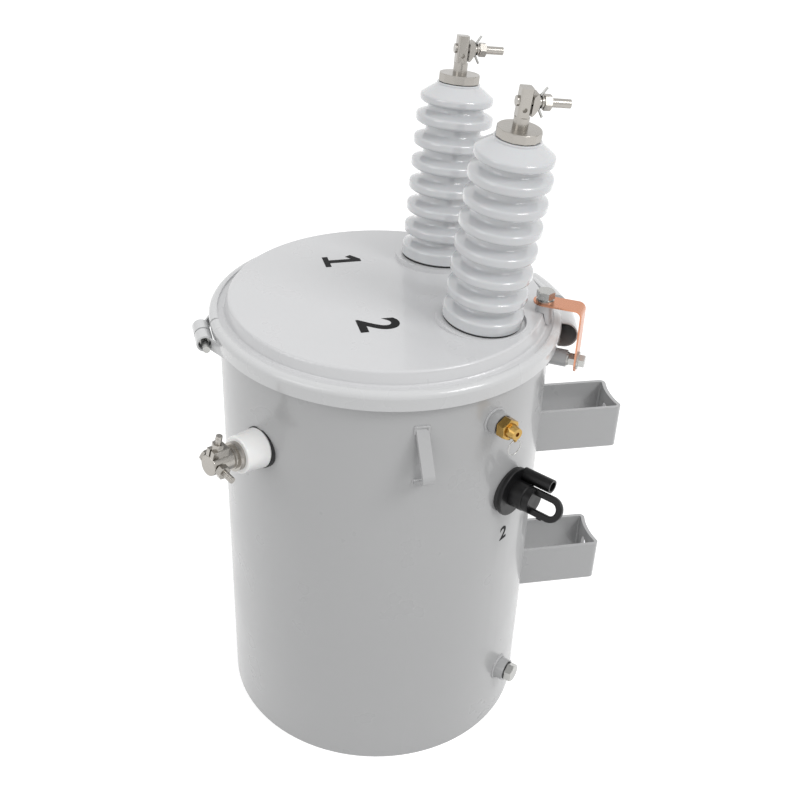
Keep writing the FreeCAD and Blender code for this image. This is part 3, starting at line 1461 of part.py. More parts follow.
def make_knob(frame):
    half = d.knob_radius
    strand = d.knob_strand
    eye_half = half - strand
    bow_start = knob_start + d.knob_disc / 2
    eye_start = knob_start + d.knob_disc
    bow = padded("knob_bow", "XZ_Plane", [
        [(bow_start, -half), (knob_end - half, -half, half), (knob_end - half, half), (bow_start, half)],
        [(eye_start, -eye_half), (knob_end - half, -eye_half, eye_half), (knob_end - half, eye_half),
         (eye_start, eye_half)],
    ], d.knob_thick, symmetric=True)
    reach = knob_end.value
    fillet_edges(bow, "knob_bow_edges", d.knob_edge,
                 lambda middle, edge: abs(abs(middle.y) - d.knob_thick.value / 2) < 0.01
                 and middle.x > eye_start.value + 0.1)
    disc = rod("knob_disc", half, d.knob_disc, shift(x=knob_start), ALONG_X)
    tab = block("knob_tab", d.knob_tab * 2, d.knob_tab, d.knob_tab,
                shift(reach - half - d.knob_tab * 4, -d.knob_tab / 2, -half - d.knob_tab / 2))
    shaft_room = rod("knob_shaft_room", d.switch_shaft_radius + d.thread_clearance, knob_start + d.knob_disc / 2,
                     ALONG_X)
    knob = cut("switch_knob", fuse("knob_blank", [bow, disc, tab]), [shaft_room])
    node("switch_knob", place(knob, frame, shift(axis=(1, 0, 0), angle=-d.knob_turn)))


# Drain
def make_drain():
    frame = at_azimuth(d.drain_turn, d.drain_height)
    inside = wall_inside - d.coupling_in / 2
    face = d.tank_radius + d.drain_out
    coupling = turned("drain_coupling", [
        (inside, d.drain_bore),
        (face, d.drain_bore),
        (face, d.drain_radius),
        (inside, d.drain_radius),
    ], "H_Axis")
    node("drain_coupling", place(coupling, frame))
    washer = turned("drain_washer", [
        (face, d.drain_bore),
        (face + d.drain_washer_sheet, d.drain_bore),
        (face + d.drain_washer_sheet, d.drain_washer_radius),
        (face, d.drain_washer_radius),
    ], "H_Axis")
    node("drain_washer", place(washer, frame))
    head_start = face + d.drain_washer_sheet
    head = hexagon("drain_plug_head", d.drain_plug_flats, d.drain_plug_height)
    place(head, shift(x=head_start), ALONG_X)
    shank = rod("drain_plug_shank", d.drain_bore - d.thread_clearance, head_start - inside, shift(x=inside), ALONG_X)
    node("drain_plug", place(fuse("drain_plug", [head, shank]), frame))


# Earthing bosses, strap and bolts
strap_level = panel_top + d.earth_cover_rise
earth_strap_inner = d.strap_reach - d.strap_sheet
strap_frame = " * ".join([at_azimuth(d.earth_turn), shift(x=d.earth_cover_radius, angle=-d.strap_twist)])


def make_earthing():
    # The strap's frame starts at the bolt on the cover and points along the strap.
    frame = strap_frame
    boss_blank = cut("cover_boss_blank",
                     rod("cover_boss_rod", d.earth_boss_radius, strap_level - gasket_top, shift(z=gasket_top)),
                     [rod("cover_boss_thread", d.earth_bolt_radius + d.thread_clearance, d.panel_rise * 3,
                          shift(z=gasket_top))])
    profile_room = turned("cover_room", [
        (0, 0),
        (d.rim_radius, 0),
        (d.rim_radius, ledge_top + d.weld_gap),
        (d.panel_radius + d.step_run + d.step_foot, ledge_top + d.weld_gap),
        (d.panel_radius + d.step_run + d.weld_gap, ledge_top + d.step_foot),
        (d.panel_radius + d.weld_gap, panel_top + d.weld_gap),
        (0, panel_top + d.panel_dome + d.weld_gap),
    ])
    node("cover_earth_boss", cut("cover_earth_boss", place(boss_blank, frame), [profile_room]))
    tank_boss = rod("tank_boss_rod", d.earth_boss_radius, d.earth_tank_reach, shift(z=earth_tank_height), ALONG_X)
    tank_thread = rod("tank_boss_thread", d.earth_bolt_radius + d.thread_clearance, d.earth_tank_reach,
                      shift(d.earth_tank_reach - d.earth_bolt_depth - d.earth_bolt_radius, 0, earth_tank_height),
                      ALONG_X)
    tank_boss = place(cut("tank_boss_blank", tank_boss, [tank_thread]), frame)
    node("tank_earth_boss", cut("tank_earth_boss", tank_boss, [rod("tank_boss_drum", tank_face, d.tank_height)]))
    make_strap(frame)
    make_earth_bolts(frame)


def make_strap(frame):
    t = d.strap_sheet
    bend = d.strap_bend
    line = d.strap_reach
    half = d.strap_width / 2
    start = -half
    low = earth_tank_height - half
    strap = padded("strap_bent", "XZ_Plane", [[
        (start, strap_level),
        (line - bend, strap_level, -(bend - t)),
        (line - t, strap_level - bend + t),
        (line - t, low),
        (line, low),
        (line, strap_level - bend + t, bend),
        (line - bend, strap_level + t),
        (start, strap_level + t),
    ]], d.strap_width, symmetric=True)
    hole = d.earth_bolt_radius + d.bolt_clearance
    top_hole = rod("strap_top_hole", hole, t * 8, shift(z=strap_level - t * 4))
    side_hole = rod("strap_side_hole", hole, t * 8, shift(line - t * 4, 0, earth_tank_height), ALONG_X)
    end_square = block("strap_end_square", half, d.strap_width * 2, t * 4,
                       shift(start, -d.strap_width, strap_level - t * 2))
    end_round = rod("strap_end_round", half, t * 4, shift(z=strap_level - t * 2))
    low_square = block("strap_low_square", t * 4, d.strap_width * 2, half,
                       shift(line - t * 2, -d.strap_width, low))
    low_round = rod("strap_low_round", half, t * 4, shift(line - t * 2, 0, earth_tank_height), ALONG_X)
    corners = cut("strap_corners", end_square, [end_round])
    low_corners = cut("strap_low_corners", low_square, [low_round])
    node("earth_strap", place(cut("earth_strap", strap, [top_hole, side_hole, corners, low_corners]), frame))


def make_earth_bolts(frame):
    t = d.strap_sheet
    lock = d.earth_lock_sheet
    flat = d.earth_washer_sheet
    face = d.earth_tank_reach
    line = d.strap_reach
    bore = d.earth_bolt_radius + d.thread_clearance
    level = strap_level + t
    side_frame = [frame, shift(z=earth_tank_height), ALONG_X]
    washers = [
        place(ring_solid("cover_flat_washer", d.earth_washer_radius, bore, level, level + flat), frame),
        place(ring_solid("cover_lock_washer", d.earth_lock_radius, bore, level + flat, level + flat + lock), frame),
        place(ring_solid("tank_lock_washer", d.earth_lock_radius, bore, face, face + lock), *side_frame),
        place(ring_solid("tank_flat_washer", d.earth_washer_radius, bore, line, line + flat), *side_frame),
    ]
    spacer = hexagon("tank_spacer_nut", d.earth_tank_flats, earth_strap_inner - face - lock, bore, under=True)
    place(spacer, *side_frame, shift(z=face + lock))
    node("earth_washers", group("earth_washers", washers + [spacer]))
    top_head = hexagon("cover_bolt_head", d.earth_cover_flats, d.earth_cover_head)
    place(top_head, shift(z=level + flat + lock))
    top_shank = rod("cover_bolt_shank", d.earth_bolt_radius, level + flat + lock - gasket_top, shift(z=gasket_top))
    side_head = hexagon("tank_bolt_head", d.earth_tank_flats, d.earth_tank_head)
    place(side_head, shift(z=line + flat))
    side_start = face - d.earth_bolt_depth
    side_shank = rod("tank_bolt_shank", d.earth_bolt_radius, line + flat - side_start, shift(z=side_start))
    bolts = [
        place(fuse("cover_bolt", [top_head, top_shank]), frame),
        place(fuse("tank_bolt", [side_head, side_shank]), *side_frame),
    ]
    node("earth_bolts", group("earth_bolts", bolts))


# Core and windings
core_bottom = floor_top + d.clamp_foot
core_top = core_bottom + d.core_height
coil_bottom = core_bottom + (d.core_height - d.coil_height) / 2
coil_top = coil_bottom + d.coil_height
limb_half = d.core_build + d.core_gap
rod_line = d.core_width + d.core_gap + d.tie_rod_inset


def make_core():
    for number, side in ((1, -1), (2, 1)):
        near = side * d.core_gap
        far = side * (d.core_width + d.core_gap)
        x0, x1 = (far, near) if side < 0 else (near, far)
        loop = padded(f"core_loop_{number}", "XZ_Plane", [
            rectangle(x0, core_bottom, x1, core_top, d.core_corner),
            rectangle(x0 + d.core_build, core_bottom + d.core_build, x1 - d.core_build, core_top - d.core_build,
                      d.core_window_corner),
        ], d.core_depth, symmetric=True)
        node(f"core_loop_{number}", loop)
    half_depth = d.core_depth / 2
    build = d.lv_coil_gap
    layers = (
        ("lv_winding", d.lv_coil_build, d.barrier_gap),
        ("winding_barrier", d.barrier_build, d.barrier_gap),
        ("hv_winding", d.hv_coil_build, d.barrier_gap),
    )
    for label, thick, gap in layers:
        outlines = []
        for offset in (build + thick, build):
            x = limb_half + offset
            y = half_depth + offset
            corner = d.coil_corner + offset - d.lv_coil_gap
            outlines.append(rectangle(-x, -y, x, y, corner))
        node(label, padded(label, "XY_Plane", outlines, d.coil_height, offset=coil_bottom))
        build = build + thick + gap
    make_core_clamps()


def make_core_clamps():
    length = 2 * (d.core_width + d.core_gap + d.clamp_end)
    depth = d.core_depth
    rods = []
    nuts = []
    rod_room = d.tie_rod_radius + d.bolt_clearance
    sheet_low = core_bottom - d.clamp_sheet
    plate = block("clamp_low_plate", length, depth, d.clamp_sheet, shift(-length / 2, -depth / 2, sheet_low))
    feet = []
    for number, side in ((1, -1), (2, 1)):
        y = side * (depth / 2 - d.clamp_sheet / 2) - d.clamp_sheet / 2
        feet.append(block(f"clamp_foot_{number}", length, d.clamp_sheet, d.clamp_foot - d.clamp_sheet,
                          shift(-length / 2, y, floor_top)))
    low_holes = []
    top_holes = []
    for number, side in ((1, -1), (2, 1)):
        x = side * rod_line
        low_holes.append(rod(f"clamp_low_hole_{number}", rod_room, d.clamp_foot * 2, shift(x, 0, floor_top)))
        top_holes.append(rod(f"clamp_top_hole_{number}", rod_room, d.clamp_foot, shift(x, 0, core_top)))
        top_end = core_top + d.clamp_sheet + d.tie_nut_height + d.tie_rod_tail
        low_end = sheet_low - d.tie_nut_height - d.tie_rod_tail
        rods.append(rod(f"tie_rod_{number}", d.tie_rod_radius, top_end - low_end, shift(x, 0, low_end)))
        bore = d.tie_rod_radius + d.thread_clearance
        for place_name, level in (("top", core_top + d.clamp_sheet), ("low", sheet_low - d.tie_nut_height)):
            nut = hexagon(f"tie_nut_{place_name}_{number}", d.tie_nut_flats, d.tie_nut_height, bore, under=True)
            nuts.append(place(nut, shift(x, 0, level)))
    node("core_clamp_bottom", cut("core_clamp_bottom", fuse("clamp_low_blank", [plate] + feet), low_holes))
    top_plate = block("clamp_top_plate", length, depth, d.clamp_sheet, shift(-length / 2, -depth / 2, core_top))
    node("core_clamp_top", cut("core_clamp_top", top_plate, top_holes))
    node("core_tie_rods", group("core_tie_rods", rods + nuts))


# Leads inside the tank
def round_path(points, bend):
    # Straight runs joined by tangent arcs.
    edges = []
    last = points[0]
    for before, corner, after in zip(points, points[1:], points[2:]):
        into = (corner - before).normalize()
        out = (after - corner).normalize()
        turn = into.getAngle(out)
        back = bend * math.tan(turn / 2)
        start = corner - into * back
        stop = corner + out * back
        bisector = (out - into).normalize()
        middle = corner + bisector * (bend / math.cos(turn / 2) - bend)
        edges.append(Part.LineSegment(last, start).toShape())
        edges.append(Part.Arc(start, middle, stop).toShape())
        last = stop
    edges.append(Part.LineSegment(last, points[-1]).toShape())
    return Part.Wire(edges)


def lead(name, points, radius):
    path = round_path(points, d.lead_bend.value)
    along = points[1] - points[0]
    section = Part.Wire([Part.Circle(points[0], along, radius.value).toShape()])
    feature = doc.addObject("Part::Feature", name)
    feature.Shape = path.makePipeShell([section], True, False)
    return feature


def make_leads():
    V = FreeCAD.Vector
    gap = d.seat_gap.value
    rise = d.lead_bend.value * 2.2
    coil = coil_top.value + gap
    leads = []
    hv_offset = (limb_half + d.lv_coil_gap + d.lv_coil_build + d.barrier_build + d.barrier_gap * 2).value
    hv_y = (d.core_depth - limb_half * 2).value / 2 + hv_offset + d.hv_coil_build.value / 2
    for number, side in ((1, -1), (2, 1)):
        end = V(*[size.value for size in seats[number].point(-d.hv_shank_depth - d.hv_stud_below)])
        axis = V(*[size.value for size in seats[number].axis])
        end = end - axis * gap
        start = V(side * limb_half.value / 2, hv_y, coil)
        points = [start, start + V(0, 0, rise), end - axis * rise, end]
        leads.append(lead(f"hv_lead_{number}", points, d.hv_lead_radius))
    node("hv_leads", group("hv_leads", leads))
    turn = math.radians(d.lv_turn.value)
    out = V(math.cos(turn), math.sin(turn), 0)
    tilt = math.radians(d.lv_tilt.value)
    along = out * math.cos(tilt) + V(0, 0, math.sin(tilt))
    depth = (d.tank_sheet + d.lv_shank_depth + d.lv_stud_depth).value + gap
    end = out * d.tank_radius.value + V(0, 0, lv_height.value) - along * depth
    lv_y = (d.core_depth / 2 + d.lv_coil_gap + d.lv_coil_build / 2).value
    start = V(limb_half.value / 2, -lv_y, coil)
    points = [start, start + V(0, 0, rise), end - along * rise, end]
    node("lv_lead", lead("lv_lead", points, d.lv_lead_radius))


make_tank()
make_cover()
make_band()
cap_nuts, jaws = zip(*[make_hv_bushing(bushing) for bushing in seats])
node("hv_cap_nuts", group("hv_cap_nuts", list(cap_nuts)))
node("hv_jaws", group("hv_jaws", list(jaws)))
make_hv_hardware(make_lv_bushing())
make_lugs()
make_brackets()
make_relief()
make_switch()
make_drain()
make_earthing()
make_core()
make_leads()
doc.recompute()

# Checks before writing
failed = [
    f"{thing.Name} {thing.getStatusString()}" for thing in doc.Objects
    if "Invalid" in thing.State or "Error" in thing.State
]
if failed:
    raise RuntimeError(f"these objects failed: {failed}")
for label, thing in nodes.items():
    if thing.Shape.isNull() or not thing.Shape.isValid():
        raise RuntimeError(f"{label} has no valid shape")

os.makedirs("parts", exist_ok=True)
for label, thing in nodes.items():
    thing.Shape.exportStep(f"parts/{label}.step")
    box = thing.Shape.BoundBox
    print(f"{label}: {len(thing.Shape.Solids)} solids, {thing.Shape.Volume:.0f} mm3,"
          f" x {box.XMin:.1f}..{box.XMax:.1f} y {box.YMin:.1f}..{box.YMax:.1f} z {box.ZMin:.1f}..{box.ZMax:.1f}")
print(f"{len(nodes)} nodes")
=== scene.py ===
import json
import math

import bmesh
import bpy
from mathutils import Matrix, Vector


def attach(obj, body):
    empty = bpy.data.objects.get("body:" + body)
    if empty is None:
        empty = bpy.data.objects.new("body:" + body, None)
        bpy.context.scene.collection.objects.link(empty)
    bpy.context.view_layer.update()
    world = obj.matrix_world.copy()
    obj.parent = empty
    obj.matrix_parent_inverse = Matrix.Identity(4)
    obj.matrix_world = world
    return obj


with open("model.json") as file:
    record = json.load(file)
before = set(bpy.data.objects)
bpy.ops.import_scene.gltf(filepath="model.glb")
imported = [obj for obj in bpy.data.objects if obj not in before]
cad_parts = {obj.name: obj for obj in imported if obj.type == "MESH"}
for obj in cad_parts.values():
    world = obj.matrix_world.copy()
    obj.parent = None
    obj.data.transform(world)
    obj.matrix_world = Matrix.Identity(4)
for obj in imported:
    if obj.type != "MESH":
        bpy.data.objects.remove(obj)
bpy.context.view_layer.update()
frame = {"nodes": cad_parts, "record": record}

# Lengths on the object are in mm and scaled by MM. The floor, lamps and camera are in metres.
MM = 0.001
ROOT = "transformer"


# Nodes that several trees share
def operate(tree, kind, first, second=None):
    # A math node on one or two values, each a number or another node's output.
    node = tree.nodes.new("ShaderNodeMath")
    node.operation = kind
    for index, value in enumerate((first, second)):
        if value is None:
            continue
        if isinstance(value, (int, float)):
            node.inputs[index].default_value = value
        else:
            tree.links.new(value, node.inputs[index])
    return node.outputs[0]


def map_range(tree, source, low, high, low_out, high_out):
    # Carries the span from low to high over to the span from low_out to high_out.
    node = tree.nodes.new("ShaderNodeMapRange")
    ends = {"From Min": low, "From Max": high, "To Min": low_out, "To Max": high_out}
    for label, value in ends.items():
        node.inputs[label].default_value = value
    tree.links.new(source, node.inputs["Value"])
    return node.outputs["Result"]


# Surfaces
# The colour sockets of a Mix node, which holds one set of sockets for each kind of data.
MIX_FIRST = 6
MIX_SECOND = 7
MIX_RESULT = 2
# The part of a noise texture's range that holds most of its values.
NOISE_LOW = 0.3
NOISE_HIGH = 0.7


class Finish:
    """A procedural surface on Object coordinates."""

    def __init__(self, name, colour, roughness, metallic=0.0):
        self.material = bpy.data.materials.new(name)
        self.material.use_nodes = True
        self.tree = self.material.node_tree
        self.tree.nodes.clear()
        self.shader = self.add("ShaderNodeBsdfPrincipled")
        output = self.add("ShaderNodeOutputMaterial")
        self.link(self.shader.outputs[0], output.inputs["Surface"])
        self.position = self.add("ShaderNodeTexCoord").outputs["Object"]
        self.colour = colour
        self.give("Base Color", (*colour, 1))
        self.give("Roughness", roughness)
        self.give("Metallic", metallic)

    def add(self, kind):
        return self.tree.nodes.new(kind)

    def link(self, source, target):
        self.tree.links.new(source, target)

    def give(self, label, value):
        self.shader.inputs[label].default_value = value

    def noise(self, scale, detail, stretch=(1, 1, 1)):
        mapping = self.add("ShaderNodeMapping")
        mapping.inputs["Scale"].default_value = stretch
        self.link(self.position, mapping.inputs["Vector"])
        texture = self.add("ShaderNodeTexNoise")
        texture.inputs["Scale"].default_value = scale
        texture.inputs["Detail"].default_value = detail
        self.link(mapping.outputs[0], texture.inputs["Vector"])
        return texture.outputs["Fac"]

    def tone(self, factor, low, high):
        # Varies the base colour between two shares of itself.
        blend = self.add("ShaderNodeMix")
        blend.data_type = "RGBA"
        self.link(factor, blend.inputs["Factor"])
        for socket, share in ((MIX_FIRST, low), (MIX_SECOND, high)):
            shade = [channel * share for channel in self.colour]
            blend.inputs[socket].default_value = (*shade, 1)
        self.link(blend.outputs[MIX_RESULT], self.shader.inputs["Base Color"])

    def sheen(self, factor, low, high):
        # Varies the roughness.
        spread = map_range(self.tree, factor, NOISE_LOW, NOISE_HIGH, low, high)
        self.link(spread, self.shader.inputs["Roughness"])

    def bump(self, source, strength, distance):
        node = self.add("ShaderNodeBump")
        node.inputs["Strength"].default_value = strength
        node.inputs["Distance"].default_value = distance
        self.link(source, node.inputs["Height"])
        self.link(node.outputs["Normal"], self.shader.inputs["Normal"])

    def coat(self, weight, roughness):
        self.give("Coat Weight", weight)
        self.give("Coat Roughness", roughness)


def paint(name, colour, roughness=0.30, coat=0.5):
    finish = Finish(name, colour, roughness)
    finish.tone(finish.noise(scale=6, detail=4), low=0.975, high=1.02)
    finish.sheen(finish.noise(scale=14, detail=3), low=roughness - 0.04, high=roughness + 0.05)
    finish.bump(finish.noise(scale=9, detail=2), strength=0.08, distance=0.001)
    finish.coat(weight=coat, roughness=0.08)
    return finish.material


def porcelain(name, colour):
    finish = Finish(name, colour, roughness=0.16)
    finish.tone(finish.noise(scale=16, detail=4), low=0.965, high=1.025)
    finish.bump(finish.noise(scale=40, detail=2), strength=0.03, distance=0.0006)
    finish.coat(weight=1.0, roughness=0.03)
    finish.give("Subsurface Weight", 0.04)
    finish.give("Subsurface Scale", 0.004)
    return finish.material


def metal(name, colour, roughness, tarnish=0.9):
    finish = Finish(name, colour, roughness, metallic=1.0)
    finish.tone(finish.noise(scale=28, detail=3), low=tarnish, high=1.04)
    finish.sheen(finish.noise(scale=40, detail=3), low=roughness - 0.04, high=roughness + 0.06)
    return finish.material


def rubber(name):
    finish = Finish(name, (0.018, 0.018, 0.019), roughness=0.6)
    finish.tone(finish.noise(scale=90, detail=3), low=0.8, high=1.5)
    finish.bump(finish.noise(scale=900, detail=2), strength=0.2, distance=0.0002)
    return finish.material


def moulded(name):
    finish = Finish(name, (0.006, 0.006, 0.0065), roughness=0.36)
    finish.tone(finish.noise(scale=70, detail=3), low=0.8, high=1.4)
    finish.sheen(finish.noise(scale=60, detail=3), low=0.30, high=0.42)
    finish.bump(finish.noise(scale=500, detail=2), strength=0.08, distance=0.0001)
    finish.give("Specular IOR Level", 0.3)
    return finish.material


def board(name, colour):
    # Pressed board and paper, with a grain that is drawn out across Z.
    finish = Finish(name, colour, roughness=0.7)
    finish.tone(finish.noise(scale=40, detail=5, stretch=(1, 1, 6)), low=0.8, high=1.12)
    finish.bump(finish.noise(scale=500, detail=3), strength=0.3, distance=0.0003)
    return finish.material


def wound(name, colour, bands, metallic):
    # Layers of wire, strip or steel seen as fine lines along Z.
    finish = Finish(name, colour, roughness=0.42, metallic=metallic)
    wave = finish.add("ShaderNodeTexWave")
    wave.bands_direction = "Z"
    wave.inputs["Scale"].default_value = bands
    wave.inputs["Distortion"].default_value = 0.6
    finish.link(finish.position, wave.inputs["Vector"])
    finish.tone(wave.outputs["Fac"], low=0.75, high=1.1)
    finish.bump(wave.outputs["Fac"], strength=0.5, distance=0.0004)
    return finish.material


def mark_paint(name):
    finish = Finish(name, (0.006, 0.006, 0.0065), roughness=0.6)
    finish.tone(finish.noise(scale=200, detail=4), low=0.7, high=1.6)
    finish.give("Specular IOR Level", 0.2)
    return finish.material


finishes = {
    "tank_paint": paint("tank_paint", (0.445, 0.448, 0.452)),
    # Painted light: the cover's grey is the tank's grey made lighter, standing in for the stronger
    # light that falls on the top.
    "cover_paint": paint("cover_paint", (0.64, 0.643, 0.652)),
    "band_paint": paint("band_paint", (0.62, 0.625, 0.63), roughness=0.26, coat=0.6),
    "dark_rubber": rubber("dark_rubber"),
    "plated_steel": metal("plated_steel", (0.50, 0.50, 0.485), roughness=0.26),
    "grey_porcelain": porcelain("grey_porcelain", (0.61, 0.62, 0.635)),
    "white_porcelain": porcelain("white_porcelain", (0.93, 0.93, 0.92)),
    "brass": metal("brass", (0.52, 0.33, 0.10), roughness=0.25),
    "tinned_brass": metal("tinned_brass", (0.43, 0.41, 0.38), roughness=0.24),
    "black_plastic": moulded("black_plastic"),
    "insulating_board": board("insulating_board", (0.34, 0.20, 0.09)),
    "copper": metal("copper", (0.66, 0.31, 0.19), roughness=0.26, tarnish=0.94),
    "core_steel": wound("core_steel", (0.30, 0.31, 0.33), bands=30, metallic=0.9),
    "winding_metal": wound("winding_metal", (0.60, 0.60, 0.60), bands=20, metallic=0.9),
    "winding_wire": wound("winding_wire", (0.38, 0.14, 0.05), bands=90, metallic=0.6),
    "core_clamp_paint": paint("core_clamp_paint", (0.04, 0.045, 0.05), roughness=0.4),
    "lead_paper": board("lead_paper", (0.50, 0.36, 0.18)),
}

slots = {entry["node"]: entry["material_slot"] for entry in frame["record"]["subparts"]}
for name, thing in frame["nodes"].items():
    material = finishes[slots[name]]
    for slot in thing.material_slots:
        slot.material = material


# Places on the object, with the sizes of the part's source
def rotate(degrees, axis="Z"):
    return Matrix.Rotation(math.radians(degrees), 4, axis)


def shift(x, y, z):
    return Matrix.Translation(Vector((x, y, z)) * MM)


def radial(azimuth, height):
    # X points out of the tank, Z up, at the tank's axis.
    return rotate(azimuth) @ shift(0, 0, height)


TANK_RADIUS = 250.0
WELD_GAP = 0.1
PANEL_TOP = 731.0
PANEL_DOME = 1.5
PANEL_RUN = 232.5
LUG_FACE = TANK_RADIUS + WELD_GAP
LUG_TWIST = 6.0
EARTH_TURN = 69.0
EARTH_HEIGHT = 658.0
EARTH_RADIUS = 236.0
STRAP_TWIST = 9.0
EARTH_FRAME = radial(EARTH_TURN, EARTH_HEIGHT) @ shift(EARTH_RADIUS, 0, 0) @ rotate(-STRAP_TWIST)


def lug_frame(azimuth):
    return rotate(azimuth) @ shift(LUG_FACE, 0, 0) @ rotate(LUG_TWIST) @ shift(-LUG_FACE, 0, 0)


def on_wall(place, side, height):
    # Where a line along a frame's X, at a side offset and a height, meets the tank wall.
    start = place @ (Vector((0, side, height)) * MM) / MM
    along = place.to_3x3() @ Vector((1, 0, 0))
    half = start.x * along.x + start.y * along.y
    excess = start.x ** 2 + start.y ** 2 - TANK_RADIUS ** 2
    return start + along * (-half + math.sqrt(half * half - excess))


def finish_piece(name, mesh, slot, material=None):
    # Makes the mesh a piece of its own that rides the transformer.
    piece = bpy.data.objects.new(name, mesh)
    bpy.context.scene.collection.objects.link(piece)
    mesh.materials.clear()
    mesh.materials.append(material or finishes[slot])
    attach(piece, ROOT)


# Geometry Nodes trees
BEAD_STEPS = 4.0
BEAD_RIPPLE = 0.07
BEAD_SIDES = 12
THREAD_STEPS = 24
THREAD_SIDES = 4


def new_tree(name, sizes):
    tree = bpy.data.node_groups.new(name, "GeometryNodeTree")
    tree.interface.new_socket("Geometry", in_out="INPUT", socket_type="NodeSocketGeometry")
    for label, value in sizes.items():
        socket = tree.interface.new_socket(label, in_out="INPUT", socket_type="NodeSocketFloat")
        socket.default_value = value
    tree.interface.new_socket("Finish", in_out="INPUT", socket_type="NodeSocketMaterial")
    tree.interface.new_socket("Geometry", in_out="OUTPUT", socket_type="NodeSocketGeometry")
    return tree, tree.nodes.new("NodeGroupInput"), tree.nodes.new("NodeGroupOutput")


def profile_circle(tree, sides, radius):
    # The section that a sweep carries along its path; its radius is a number or an output.
    profile = tree.nodes.new("GeometryNodeCurvePrimitiveCircle")
    profile.inputs["Resolution"].default_value = sides
    if isinstance(radius, float):
        profile.inputs["Radius"].default_value = radius
    else:
        tree.links.new(radius, profile.inputs["Radius"])
    return profile.outputs[0]


def sweep_and_close(tree, entry, end, path, profile, scale=None):
    # Sweeps the profile along the path, at a scale that may change along it, and sends the
    # result to the tree's end as one smooth mesh with its material.
    sweep = tree.nodes.new("GeometryNodeCurveToMesh")
    sweep.inputs["Fill Caps"].default_value = True
    tree.links.new(path, sweep.inputs["Curve"])
    tree.links.new(profile, sweep.inputs["Profile Curve"])
    if scale is not None:
        tree.links.new(scale, sweep.inputs["Scale"])
    smooth = tree.nodes.new("GeometryNodeSetShadeSmooth")
    realize = tree.nodes.new("GeometryNodeRealizeInstances")
    coat = tree.nodes.new("GeometryNodeSetMaterial")
    tree.links.new(sweep.outputs[0], smooth.inputs["Geometry"])
    tree.links.new(smooth.outputs[0], realize.inputs[0])
    tree.links.new(realize.outputs[0], coat.inputs["Geometry"])
    tree.links.new(entry.outputs["Finish"], coat.inputs["Material"])
    tree.links.new(coat.outputs[0], end.inputs[0])


def make_bead_tree():
    # A weld bead along a line, whose radius swells once in each ripple length.
    tree, entry, end = new_tree("weld_bead", {"Bead radius": 0.003, "Ripple length": 0.002})
    resample = tree.nodes.new("GeometryNodeResampleCurve")
    resample.mode = "LENGTH"
    tree.links.new(entry.outputs["Geometry"], resample.inputs["Curve"])
    step = operate(tree, "DIVIDE", entry.outputs["Ripple length"], BEAD_STEPS)
    tree.links.new(step, resample.inputs["Length"])
    index = tree.nodes.new("GeometryNodeInputIndex")
    phase = operate(tree, "MULTIPLY", index.outputs[0], math.pi / 2)
    wave = operate(tree, "SINE", phase)
    scale = operate(tree, "ADD", operate(tree, "MULTIPLY", wave, BEAD_RIPPLE), 1.0)
    width = operate(tree, "MULTIPLY", scale, entry.outputs["Bead radius"])
    radius = tree.nodes.new("GeometryNodeSetCurveRadius")
    tree.links.new(resample.outputs[0], radius.inputs["Curve"])
    tree.links.new(width, radius.inputs["Radius"])
    profile = profile_circle(tree, BEAD_SIDES, 1.0)
    read = tree.nodes.new("GeometryNodeInputRadius")
    sweep_and_close(tree, entry, end, radius.outputs[0], profile, read.outputs[0])
    return tree


def make_thread_tree():
    # The ridge of a screw thread, as a square section on a spiral.
    tree, entry, end = new_tree("screw_thread", {
        "Core radius": 0.005, "Length": 0.02, "Pitch": 0.00175, "Ridge": 0.0007})
    spiral = tree.nodes.new("GeometryNodeCurveSpiral")
    spiral.inputs["Resolution"].default_value = THREAD_STEPS
    turns = operate(tree, "DIVIDE", entry.outputs["Length"], entry.outputs["Pitch"])
    tree.links.new(turns, spiral.inputs["Rotations"])
    tree.links.new(entry.outputs["Core radius"], spiral.inputs["Start Radius"])
    tree.links.new(entry.outputs["Core radius"], spiral.inputs["End Radius"])
    tree.links.new(entry.outputs["Length"], spiral.inputs["Height"])
    profile = profile_circle(tree, THREAD_SIDES, entry.outputs["Ridge"])
    sweep_and_close(tree, entry, end, spiral.outputs[0], profile)
    return tree


BEAD_TREE = make_bead_tree()
THREAD_TREE = make_thread_tree()


def grown(name, data, tree, sizes, slot):
    # Runs a tree on the given data and returns its result as a plain mesh.
    maker = bpy.data.objects.new(f"{name}_maker", data)
    bpy.context.scene.collection.objects.link(maker)
    modifier = maker.modifiers.new("grow", "NODES")
    modifier.node_group = tree
    for item in tree.interface.items_tree:
        if item.in_out != "INPUT":
            continue
        if item.name in sizes:
            modifier[item.identifier] = sizes[item.name]
        if item.name == "Finish":
            modifier[item.identifier] = finishes[slot]
    graph = bpy.context.evaluated_depsgraph_get()
    mesh = bpy.data.meshes.new_from_object(maker.evaluated_get(graph))
    maker.modifiers.remove(modifier)
    bpy.data.objects.remove(maker)
    return mesh


# Weld beads
WELD_SLOT = "tank_paint"
RIPPLE_LENGTH = 2.6
RING_STEPS = 72


def weld(name, points, bead, closed=False):
    curve = bpy.data.curves.new(f"{name}_path", "CURVE")
    curve.dimensions = "3D"
    line = curve.splines.new("POLY")
    line.points.add(len(points) - 1)
    for index, point in enumerate(points):
        line.points[index].co = (*(Vector(point) * MM), 1)
    line.use_cyclic_u = closed
    sizes = {"Bead radius": bead * MM, "Ripple length": RIPPLE_LENGTH * MM}
    finish_piece(name, grown(name, curve, BEAD_TREE, sizes, WELD_SLOT), WELD_SLOT)


def weld_ring(name, place, radius, bead):
    # The bead where a round coupling meets the tank wall.
    points = []
    for step in range(RING_STEPS):
        angle = 2 * math.pi * step / RING_STEPS
        points.append(on_wall(place, radius * math.cos(angle), radius * math.sin(angle)))
    weld(name, points, bead, closed=True)


